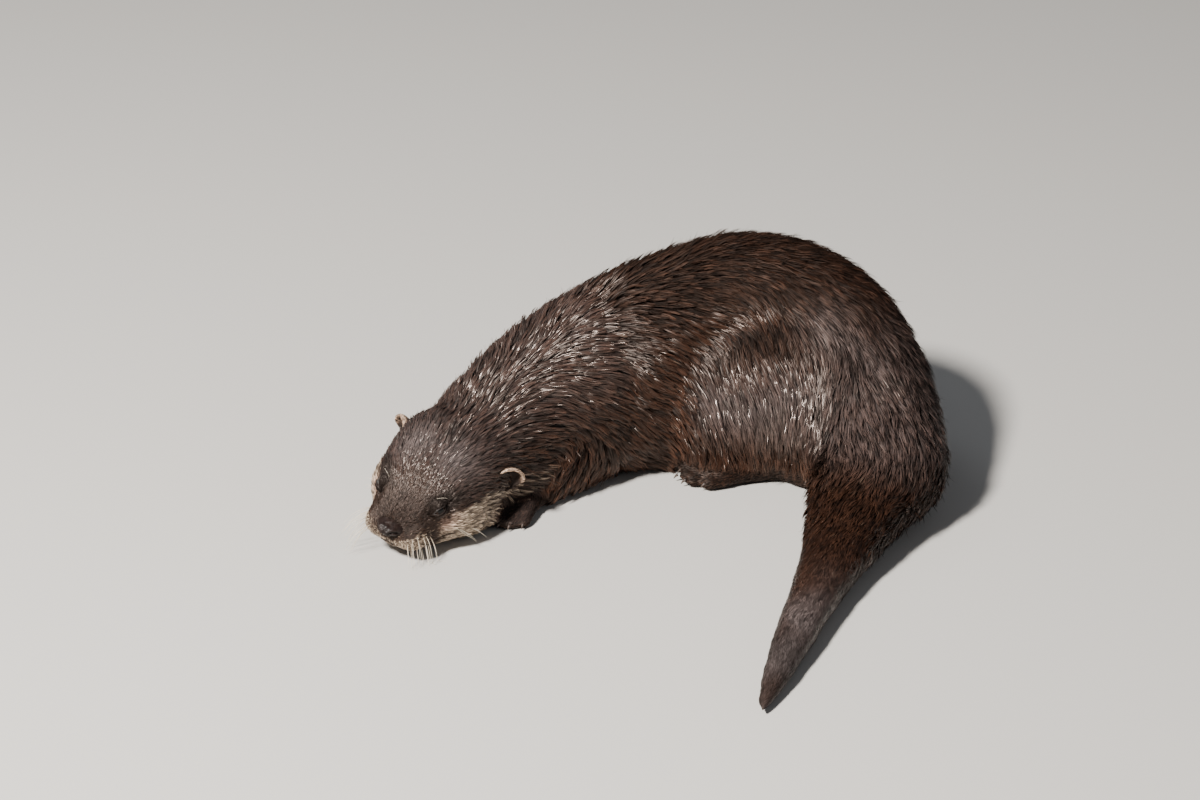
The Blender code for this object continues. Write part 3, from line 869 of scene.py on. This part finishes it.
RINGS = (0.0, 0.36, 0.70, 1.0)  # where a lock's rings stand along it
RING_HEIGHT = (-0.08, 0.55, 0.88, 1.0)  # share of the coat's depth
RING_WIDTH = (0.6, 1.0, 0.66)  # share of the lock's width
RING_PULL = (0, 0.25, 0.65, 0.92)  # how strongly a clump gathers each ring
LOCK_FACES = ((0, 3, 4, 1), (1, 4, 5, 2), (3, 6, 7, 4), (4, 7, 8, 5), (6, 9, 7), (7, 9, 8))
CORNER_TIP = np.array([0, 0, 0, 0.22, 0.22, 0.22, 0.62, 0.62, 0.62, 1.0])
CORNER_ACROSS = np.array([-1, 0, 1, -1, 0, 1, -0.8, 0, 0.8, 0])
CORNERS = len(CORNER_TIP)
CLUMP_SLOPE = 1.1  # how steeply the sides of a clump fall away
CLUMP_REACH = 4.5 * MM
CLUMP_HALF = 1.3 * MM  # from the middle of a clump to its side
UNRULY = 0.10
PATCH = 0.003  # of a lock on the UV map
LOWEST = 0.2 * MM


class Coat:
    """Locks planted on a hide. A measure of the hide is read at each lock's root."""

    def __init__(self, thing, per_area, seed):
        mesh = thing.data
        mesh.calc_loop_triangles()
        corners = read(mesh.loop_triangles, "vertices", 3, np.int32)
        loops = read(mesh.loop_triangles, "loops", 3, np.int32)
        uv = read(mesh.uv_layers["OFBake"].uv, "vector", 2)
        a, b, c = (points_of(thing)[corners[:, k]] for k in range(3))
        area = np.linalg.norm(np.cross(b - a, c - a), axis=1) / 2 / MM**2
        wanted = np.cumsum(area * per_area[corners].mean(axis=1))
        self.rng = np.random.default_rng(seed)
        self.count = int(wanted[-1])
        steps = (np.arange(self.count) + self.rng.random(self.count)) * wanted[-1] / self.count
        picked = np.minimum(np.searchsorted(wanted, steps), len(wanted) - 1)
        outer, inner = np.sqrt(self.rng.random(self.count)), self.rng.random(self.count)
        self.shares = np.stack([1 - outer, outer * (1 - inner), outer * inner], 1)
        self.corners = corners[picked]
        self.root_uv = (uv[loops[picked]] * self.shares[:, :, None]).sum(axis=1)
        self.tree = BVHTree.FromObject(thing, bpy.context.evaluated_depsgraph_get())
        self.roots = self.at_root(points_of(thing))
        self.normals = unit(self.at_root(normals_of(thing)))

    def at_root(self, values):
        """A measure of each point of the hide, or one value for all, at the root of each lock."""
        if np.ndim(values) == 0:
            return np.full(self.count, float(values))
        found = np.asarray(values)[self.corners]
        weights = self.shares if found.ndim == 2 else self.shares[:, :, None]
        return (found * weights).sum(axis=1)

    def comb(self, lie, *measures):
        """Lays the locks along the hide, and draws the tips of each clump to the lock in its middle.

        The measures are length, width, depth, clumping, unevenness, locks to a clump and height by width.
        """
        rng, count = self.rng, self.count
        ahead = laid(self.at_root(lie), self.normals)
        long, wide, deep, clump, loose, per_clump, round_up = map(self.at_root, measures)
        leaders = np.flatnonzero(rng.random(count) * per_clump < 1)
        clumps = tree_of(self.roots[leaders])
        self.leader = leaders[[clumps.find(root)[1] for root in self.roots]]
        turn = noise_at(self.roots, 45) * 0.38 + rng.normal(0, UNRULY, count)
        across = np.cross(ahead, self.normals)
        way = ahead * np.cos(turn)[:, None] + across * np.sin(turn)[:, None]
        long = long * rng.uniform(0.72, 1.22, count)
        wide = wide * rng.uniform(0.75, 1.3, count)
        from_leader = self.roots - self.roots[self.leader]
        self.off = (np.sum(from_leader * across, axis=1) / CLUMP_HALF).clip(-1, 1) * clump
        lift = rng.normal(0, 1, count)
        tall = deep * (1 + (0.10 + 0.28 * loose) * lift[self.leader] + 0.12 * lift).clip(0.4, 2.1)
        tall = tall * (1 - 0.25 * self.off**2)
        stray = (rng.random(count) < 0.01 + 0.06 * loose) * rng.uniform(0.4, 1.5, count) * deep
        place, normal = self.roots, self.normals
        centres, ups, ways = [place], [normal], [way]
        for before, after in zip(RINGS, RINGS[1:]):
            guess = place + way * (long * (after - before) * MM)[:, None]
            found = [self.tree.find_nearest(point)[:2] for point in guess.tolist()]
            place = np.array([tuple(there) for there, _ in found])
            normal = unit(normal * 0.5 + np.array([tuple(up) for _, up in found]))
            way = laid(way, normal)
            centres.append(place)
            ups.append(normal)
            ways.append(way)
        near = np.linalg.norm(from_leader, axis=1) < CLUMP_REACH
        for k, height in enumerate(RING_HEIGHT):
            centres[k] = centres[k] + ups[k] * (tall * height * MM)[:, None]
            pull = (clump * RING_PULL[k] * near)[:, None]
            centres[k] = centres[k] + (centres[k][self.leader] - centres[k]) * pull
        centres[-1] = centres[-1] + ups[-1] * (stray * MM)[:, None]
        rows = []
        for k, share in enumerate(RING_WIDTH):
            across = unit(np.cross(ways[k], ups[k])) * (wide * share * 0.5 * MM)[:, None]
            top = ups[k] * (wide * share * round_up * MM)[:, None]
            tilt = ups[k] * (wide * share * 0.5 * MM * CLUMP_SLOPE * self.off)[:, None]
            rows += [centres[k] - across + tilt, centres[k] + top, centres[k] + across - tilt]
        self.points = np.stack([*rows, centres[3]], axis=1)
        self.points[:, :, 2] = np.maximum(self.points[:, :, 2], LOWEST)

    def mark(self, buff, warm, painted_sheen, dark, dry, pink, fur_tone_and_painted_light, sleek):
        """Each lock's colours: its own shade, near its clump's and darker at the clump's sides as painted
        shade, and the markings at its root.
        """
        own = self.rng.normal(0, 1, self.count)
        # The sides of each clump are darker: painted shade.
        shade = 0.55 + self.at_root(fur_tone_and_painted_light) + 0.13 * own + 0.22 * own[self.leader] - 0.16 * self.off**2
        lean = self.rng.random(self.count)
        lean = 0.35 * lean + 0.65 * lean[self.leader]
        self.buff = ramp(self.at_root(buff) - 0.95 * lean, -0.10, 0.45)
        self.dry, self.sleek = self.at_root(dry), self.at_root(sleek)
        self.colours = [shade.clip(0, 1), self.buff, self.at_root(warm)]
        self.tints = [self.at_root(painted_sheen), self.at_root(dark), self.dry, self.at_root(pink)]

    def grow(self, name, members, finish):
        """One piece of the coat, from these locks."""
        count = len(members)
        per_lock = np.concatenate(LOCK_FACES)
        sizes = np.tile([len(face) for face in LOCK_FACES], count)
        indices = np.arange(count)[:, None] * CORNERS + per_lock
        mesh = bpy.data.meshes.new(name)
        mesh.vertices.add(count * CORNERS)
        mesh.vertices.foreach_set("co", self.points[members].astype(np.float32).ravel())
        mesh.loops.add(indices.size)
        mesh.loops.foreach_set("vertex_index", indices.astype(np.int32).ravel())
        mesh.polygons.add(len(sizes))
        mesh.polygons.foreach_set("loop_start", (np.cumsum(sizes) - sizes).astype(np.int32))
        mesh.polygons.foreach_set("use_smooth", np.ones(len(sizes), bool))
        mesh.update(calc_edges=True)
        patch = np.stack([CORNER_ACROSS / 2, CORNER_TIP - 0.5], 1) * PATCH
        spots = self.root_uv[members][:, None, :] + patch[None, per_lock, :]
        layer = mesh.uv_layers.new(name="OFBake")
        layer.uv.foreach_set("vector", np.clip(spots, 0.0005, 0.9995).astype(np.float32).ravel())
        # Dark roots are painted shade; on sleek fur they are lighter.
        tip = np.maximum(CORNER_TIP, 0.6 * self.sleek[members][:, None])
        coloured(mesh, "lock", tip, *(values[members][:, None] for values in self.colours))
        coloured(mesh, "tint", 0 * tip + self.tints[0][members][:, None], *(
            values[members][:, None] for values in self.tints[1:]
        ))
        piece = placed(name, mesh)
        mesh.materials.append(finish)
        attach(piece, "root")


coat = Coat(skin, density, seed=7)
coat.comb(lie, length, width, depth * (1 - 0.5 * sleek), clumping, spread, gather, ridge)
coat.mark(buff, warm, painted_sheen, dark, dry, pink, fur_tone_and_painted_light, sleek)

MOST_LOCKS = 19500  # in one piece
TAIL_START, NECK_START = 575, 165
root_along, root_feet = coat.at_root(along), coat.at_root(feet)
waiting = np.ones(coat.count, bool)
furry = root_feet < 0.5
wetness = 0.45 * crown * (1 - spine_top) + 1.3 * haunch + 0.5 * flank + 0.8 * sheen + 0.5 * hip_top
wetted = (coat.rng.random(coat.count) < coat.at_root(wetness)) & furry & (coat.buff < 0.4)
dried = (coat.rng.random(coat.count) < 1.15 * coat.dry) & furry
dried = dried & (root_along > NECK_START) & (root_along < TAIL_START)
COAT_PIECES = (
    # name, which locks it takes of those left over, slot
    ("coat_dry", dried, "fur"),
    ("coat_wet", wetted, "fur"),
    ("coat_face", root_along < 44, "face_fur"),
    ("coat_head", root_along < 98, "face_fur"),
    ("coat_tail", root_along > TAIL_START, "tail_fur"),
    ("coat_feet", root_feet > 0.5, "fur"),
    ("coat_neck", root_along < NECK_START, "fur"),
    ("coat_chest", root_along < 262, "fur"),
    ("coat_back", root_along < 360, "fur"),
    ("coat_hips", root_along < 460, "fur"),
    ("coat_rump", root_along >= 460, "fur"),
)
for name, inside, slot in COAT_PIECES:
    members = np.flatnonzero(inside & waiting)
    waiting[members] = False
    members = members[np.argsort(coat.roots[members, 1], kind="stable")]
    finish = {"coat_dry": dry_finish, "coat_wet": wet_finish}.get(name, body_finish)
    parts = math.ceil(len(members) / MOST_LOCKS)
    for i, some in enumerate(np.array_split(members, parts)):
        coat.grow(f"{name}_{i + 1}" if parts > 1 else name, some, finish)


# ---- nose
# A bare pad of dark, finely pebbled leather, wider than tall. Two comma-shaped nostrils open at its front
# and a cleft runs down between them.
NOSTRIL = ((2.5, -2.6), (3.2, -1.1), (4.8, 0.1), (6.6, 0.0), (7.6, -0.7))  # aside and up
pad = reshaped(copy_of_nodes("nose_pad", ["nose"]), "REMESH", mode="VOXEL", voxel_size=0.5 * MM)
leather = Hide(pad)
leather.points = leather.smoothed(leather.points, 36, 0.5)
q = face_places(leather.points)
leather.shift(-face_axes[1], 0.06 * q[:, 1])
leather.shift(-face_axes[2], 0.07 * q[:, 2] + 0.30 * np.maximum(q[:, 2] - 1.5, 0))
leather.write()
leather = Hide(reshaped(pad, "SUBSURF", levels=1, render_levels=1))
q = face_places(leather.points)
leather.shift(-face_axes[1], 0.30 * q[:, 1] * ramp(-q[:, 2], 0, 6.5))
leather.shift(face_axes[0], 3.0 * ramp(q[:, 2], 0.5, 6.5) * ramp(q[:, 0], 9, 3))
leather.write()
q = face_places(leather.points)
q[:, 1] = np.abs(q[:, 1])
gap, share = from_line(q[:, 1:], NOSTRIL)
front = ramp(q[:, 0], 7.5, 3.0)
cleft = bump_at(q[:, 1], 0.5) * ramp(q[:, 2], 2.2, -1.0) * front
shaded_nostril = bump_at(gap, 0.95 - 0.35 * share) * (1 - 0.45 * share) * front
rim = bump_at(gap - 1.9, 0.7) * ramp(q[:, 2], -2.5, 0.5) * front
pebbles, unevenness = noise_at(leather.points / MM, 1.1), noise_at(leather.points / MM, 0.35)
growth = 0.35 + 0.45 * rim - 2.7 * shaded_nostril - 0.6 * cleft + 0.14 * pebbles + 0.55 * unevenness
leather.shift(leather.normals, growth)
leather.points = leather.smoothed(leather.points, 1, 0.4)
leather.write()
# The nostrils and the cleft are painted near black: painted shade.
coloured(pad.data, "shaded_nostril", np.clip(shaded_nostril + 0.5 * cleft, 0, 1), 1, 1, 1)
shaded_smooth(pad)

finish = Finish("nose_leather")
tone = finish.toned(finish.blotches(260), (0.3, (0.018, 0.009, 0.007)), (0.7, (0.046, 0.024, 0.018)))
pebble = finish.node("TexVoronoi", {"Scale": 1900, "Vector": finish.place()}).outputs["Distance"]
pad.data.materials.clear()
pad.data.materials.append(finish.surface({
    "Base Color": finish.mixed(finish.stored("shaded_nostril")["Fac"], tone, (0.003, 0.002, 0.002)),
    "Normal": finish.raised(pebble, 0.55, 0.12 * MM, invert=True),
    "Roughness": 0.48, "Specular IOR Level": 0.2, "Coat Weight": 0.03, "Coat Roughness": 0.3,
}))
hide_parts("nose")
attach(pad, "root")


# ---- eyes
# A dark brown eyeball with a round pupil under a clear, wet cornea sits behind each pair of lids. The lids
# end in a thin, bare, moist rim.
finish = Finish("wet_eye")
iris = finish.toned(
    finish.stored("ring")["Fac"],
    (0.0, (0.001, 0.001, 0.001)), (0.42, (0.001, 0.001, 0.001)), (0.46, (0.014, 0.006, 0.004)),
    (0.78, (0.024, 0.011, 0.006)), (0.84, (0.006, 0.004, 0.003)), (1.0, (0.03, 0.020, 0.017)),
)
eye_finish = finish.surface({"Base Color": iris, "Roughness": 0.16, "IOR": 1.38, "Specular IOR Level": 0.35})
finish = Finish("lid_rim")
tone = finish.toned(finish.blotches(700), (0, (0.006, 0.004, 0.003)), (1, (0.024, 0.013, 0.010)))
rim_finish = finish.surface({"Base Color": tone, "Roughness": 0.42})

IRIS = 3.9  # radius, millimetres
BALL = 5.3
RIM_TURNS, RIM_SIDES = 56, 8


def turned_out(thing):
    """A closed surface with its faces outwards, shaded smooth."""
    edited(thing, bpy.ops.mesh.normals_make_consistent, inside=False)
    shaded_smooth(thing)


def tube_faces(first, rows, sides):
    """Faces between rings of points that follow each other."""
    faces = []
    for a in range(first, first + (rows - 1) * sides, sides):
        for i in range(sides):
            beside = (i + 1) % sides
            faces.append((a + i, a + beside, a + sides + beside, a + sides + i))
    return faces


def built(name, places, faces):
    """A new piece from its points and faces."""
    mesh = bpy.data.meshes.new(name)
    mesh.from_pydata([tuple(place) for place in places], [], faces)
    piece = placed(name, mesh)
    turned_out(piece)
    return piece


for name, axes in eye_axes.items():
    bpy.ops.mesh.primitive_uv_sphere_add(segments=48, ring_count=32, radius=BALL * MM)
    ball = bpy.context.object
    ball.name = "eyeball_" + name
    local = points_of(ball) / MM
    from_pole = np.arccos(np.clip(local[:, 2] / BALL, -1, 1)) * BALL
    cornea = 0.35 * ramp(from_pole, IRIS + 0.6, 0.5)
    coloured(ball.data, "ring", *[np.clip(from_pole / (IRIS * 1.28), 0, 1)] * 3, 1)
    local = local * (1 + cornea / BALL)[:, None]
    set_points(ball, eye_places[name] + (local @ axes) * MM)
    turned_out(ball)
    ball.data.materials.append(eye_finish)
    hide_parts("eye_" + name)
    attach(ball, "root")

    turns = np.linspace(0, 2 * math.pi, RIM_TURNS, endpoint=False)
    x = SLIT_HALF * np.cos(turns)
    y = np.where(np.sin(turns) >= 0, upper_edge(x), lower_edge(x))
    out = np.sqrt(np.maximum(BALL**2 - x**2 - y**2, 1))
    outwards = unit(np.stack([x, y, out], 1))
    loop_middle = outwards * (BALL + 0.42)
    along_rim = unit(np.roll(loop_middle, -1, axis=0) - np.roll(loop_middle, 1, axis=0))
    aside = np.cross(along_rim, outwards)
    rim_thick = 0.36 + 0.10 * (np.sin(turns) > 0)
    rows = [
        loop_middle + (aside * math.cos(t) + outwards * math.sin(t)) * rim_thick[:, None]
        for t in np.linspace(0, 2 * math.pi, RIM_SIDES, endpoint=False)
    ]
    places = np.stack(rows, axis=1).reshape(-1, 3) @ axes * MM + eye_places[name]
    faces = [[i % len(places) for i in face] for face in tube_faces(0, RIM_TURNS + 1, RIM_SIDES)]
    rims = built("lid_rims_" + name, places, faces)
    rims.data.materials.append(rim_finish)
    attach(rims, "root")


# ---- ears
# Small round cups of thin gristle, rooted low on the sides of the head and open forwards and outwards.
# Short dark fur covers the back, and a pale velvet edge runs along the free rim.
EAR_COLOURS = (
    # root, tip, buff root, buff tip, painted sheen
    (0.030, 0.019, 0.014), (0.055, 0.036, 0.026), (0.26, 0.17, 0.12), (0.56, 0.41, 0.30), (0.06, 0.05, 0.05),
)
EAR_TURNS, EAR_ROWS = 44, 9
EAR_SIZE, EAR_DROP = 1.20, 2.4
EAR_THICK = 0.9 * MM
ear_skin = coat_finish("ear_skin", EAR_COLOURS, 0.6, 0.3, bump=0.1)


for name, sign in (("left", 1), ("right", -1)):
    opening = forward * 0.616 + leftward * 0.696 * sign + upward * 0.37
    ahead = forward * 0.788 - leftward * 0.544 * sign - upward * 0.289
    above = leftward * -0.469 * sign + upward * 0.883
    places, edge = [], []
    for t in np.linspace(0, 1, EAR_ROWS):
        for turn in np.linspace(0, 2 * math.pi, EAR_TURNS, endpoint=False):
            free = 0.5 + 0.5 * math.tanh(3.2 * (math.sin(turn - 0.35) + 0.35))  # 1 round the free edge
            swell = math.sin(t * math.pi / 2)
            x = math.cos(turn) * (3.4 + (6.4 - 1.6 * (1 - free)) * swell) - 0.4
            y = math.sin(turn) * (2.6 + (5.4 - 1.4 * (1 - free)) * swell) - 0.6
            z = -5.0 + (6.2 * free + 1.2) * (1 - math.cos(t * math.pi / 2)) ** 0.9
            places.append((x, y - 1.1 * free * t**4, z))
            edge.append(free * t)
    edge = np.array(edge)
    ear_middle = np.array(centre("ear_" + name) - upward * EAR_DROP * MM)
    places = np.array(places) * EAR_SIZE @ np.array([ahead, above, opening]) * MM + ear_middle
    faces = tube_faces(0, EAR_ROWS, EAR_TURNS) + [tuple(range(EAR_TURNS))]
    ear = built("ear_" + name + "_cup", places, faces)
    coloured(ear.data, "lock", 0.3, 0.5, ramp(edge, 0.62, 0.88), 0.5)
    # Deep inside the cup the gristle is painted dark: painted shade.
    coloured(ear.data, "tint", 0, 0.95 * ramp(edge, 0.72, 0.40), 0, 0)
    reshaped(ear, "SOLIDIFY", thickness=EAR_THICK, offset=0)
    reshaped(ear, "SUBSURF", levels=1, render_levels=1)
    ear.data.materials.append(ear_skin)
    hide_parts("ear_" + name)
    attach(ear, "root")
    unwrapped(ear, 0.004)

    # Its fur: velvet on the outside, a pale fringe along the free edge, next to nothing inside.
    gristle = Hide(ear)
    pale = read(ear.data.attributes["lock"].data, "color", 4)[:, 2].astype(float)
    outside = ramp(-(unit(gristle.normals) @ np.array(opening)), -0.5, 0.3)
    root = ear_middle - np.array(opening) * 5 * MM
    grown = ramp(np.linalg.norm(gristle.points - root, axis=1) / MM, 3, 5)
    fringe = Coat(ear, 5.0 * np.maximum(outside, 0.7 * pale) * grown + 0.15, seed=11)
    outward = laid(unit(gristle.points - root) - np.array(forward) * 0.5, gristle.normals)
    fringe.comb(outward, 2.0 + 0.6 * pale, 0.34, 0.35 + 0.15 * pale, 0.15, 0.5, 4, 0.36)
    fringe.mark(pale, warm=0.4, painted_sheen=0, dark=0.35 * (1 - pale), dry=0.5, pink=0, fur_tone_and_painted_light=0, sleek=0)
    fringe.grow("ear_" + name + "_fur", np.arange(fringe.count), ear_skin)


# ---- claws
# Each of the twenty toes ends in a tiny, blunt claw of dark horn that barely reaches past the pad. The
# claws of the hands are the smallest.
CLAW_STEPS, CLAW_SIDES = 7, 8


class Spikes:
    """Tapering tubes gathered into one piece. Each point keeps how near the tip it is, from 0 to 1."""

    def __init__(self):
        self.places, self.faces, self.tips = [], [], []

    def add(self, line, radii, sides):
        """A tube round a line of places, with a radius in millimetres at each."""
        first, last = len(self.places), len(line) - 1
        for i, (middle_of, radius) in enumerate(zip(line, radii)):
            ahead = (line[min(i + 1, last)] - line[max(i - 1, 0)]).normalized()
            aside = ahead.cross(Vector((0.1, 0.2, 1))).normalized()
            other = ahead.cross(aside)
            for turn in range(sides):
                angle = turn * 2 * math.pi / sides
                outward = aside * math.cos(angle) + other * math.sin(angle)
                self.places.append(middle_of + outward * radius * MM)
                self.tips.append(i / last)
        self.faces += tube_faces(first, len(line), sides)
        self.faces.append(tuple(range(first + last * sides, first + (last + 1) * sides)))

    def finished(self, name, dark, light, roughness):
        """The piece, shaded from its dark base to its lighter tip."""
        piece = built(name, self.places, self.faces)
        coloured(piece.data, "tip", *[np.array(self.tips)] * 3, 1)
        finish = Finish(name)
        tone = finish.toned(finish.stored("tip")["Fac"], (0, dark), (0.4, light))
        piece.data.materials.append(finish.surface({"Base Color": tone, "Roughness": roughness}))
        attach(piece, "root")


claws = Spikes()
for tip, root, foot in toes:
    hind = foot.startswith("hind")
    start, reach, thick, rise = (3.4, 3.0, 1.05, 5.4) if hind else (2.8, 2.3, 0.85, 4.4)
    ahead = (tip - root).normalized()
    shares = [i / CLAW_STEPS for i in range(CLAW_STEPS + 1)]
    line = [tip + (ahead * (start + reach * t) + Vector((0, 0, rise - 2.6 * t**2))) * MM for t in shares]
    claws.add(line, [thick * (1 - 0.8 * t**1.6) for t in shares], CLAW_SIDES)
claws.finished("claws", (0.020, 0.012, 0.010), (0.055, 0.038, 0.030), 0.5)


# ---- whiskers
# Stiff cream bristles, rooted in rows in the whisker pads and drooping to the floor, with a few more on
# the cheeks, over the eyes and on the chin. Each tapers to a point.
WHISKER_STEPS, WHISKER_SIDES = 11, 4
WHISKER_REST = 0.9 * MM  # above the floor
PAD_ROWS = (-4.5, -7.0, -9.5, -12.0)  # up from the tip of the nose
PAD_COLUMNS = (4.0, 7.0, 10.0, 13.0, 16.0, 19.0)  # back from it
PAD_CORNERS = ((0, 0), (0, 5), (3, 5), (3, 0))  # where none grow
SPARE = (
    # root in the face's frame, length, way aside, ahead and up, thickness, droop
    ((33, 27, -6), 15, (0.9, -0.55, -0.35), 0.26, 0.06),
    ((37, 28, -8), 18, (0.9, -0.55, -0.35), 0.26, 0.06),
    ((44, 32, -10), 16, (0.9, -0.55, -0.35), 0.26, 0.06),
    ((40, 30, -13), 14, (0.9, -0.55, -0.35), 0.26, 0.06),
    ((29, 18, 15), 9, (0.75, -0.35, 0.55), 0.12, 0.05),
    ((18, 8, -22), 7, (0.6, -0.2, -0.6), 0.20, 0.0),
    ((22, 9, -23), 8, (0.6, -0.2, -0.6), 0.20, 0.0),
)
bristles = Spikes()
bristle_rng = np.random.default_rng(23)


def bristle(sign, root, length, way, thick, droop):
    """A hair that bends down as it goes, and lies on the floor where it meets it."""
    back_at, side_at, up_at = root
    place, normal = coat.tree.find_nearest(on_face(back_at, sign * side_at, up_at))[:2]
    way = (leftward * sign * way[0] + forward * way[1] + upward * way[2]).normalized()
    line = [place - normal * 0.6 * MM]
    for i in range(WHISKER_STEPS):
        after = line[-1] + way * length / WHISKER_STEPS * MM
        if after.z < WHISKER_REST:
            after.z = WHISKER_REST
            way.z = max(way.z, 0.03)
        line.append(after)
        way = (way + Vector((0, 0, -droop))).normalized()
    radii = [thick / 2 * (1 - i / WHISKER_STEPS) ** 0.75 + 0.02 for i in range(WHISKER_STEPS + 1)]
    bristles.add(line, radii, WHISKER_SIDES)


for sign, longer, pad_droop in ((1, 1, 0.26), (-1, 1.4, 0.10)):
    for row, up_at in enumerate(PAD_ROWS):
        for column, back_at in enumerate(PAD_COLUMNS):
            if (row, column) in PAD_CORNERS:
                continue
            shift = bristle_rng.uniform(-0.8, 0.8, 3)
            root = (back_at + shift[0], 12.0 + 0.5 * back_at, up_at + shift[1])
            way = (0.58 + 0.15 * shift[2], 0.66 - 0.11 * column, -0.20 - 0.22 * row)
            length = (14.5 + 1.5 * column + row) * bristle_rng.uniform(0.85, 1.15) * longer
            bristle(sign, root, length, way, 0.30, pad_droop)
    for spare in SPARE:
        bristle(sign, *spare)
bristles.finished("whiskers", (0.36, 0.27, 0.18), (0.83, 0.74, 0.60), 0.35)


low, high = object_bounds()
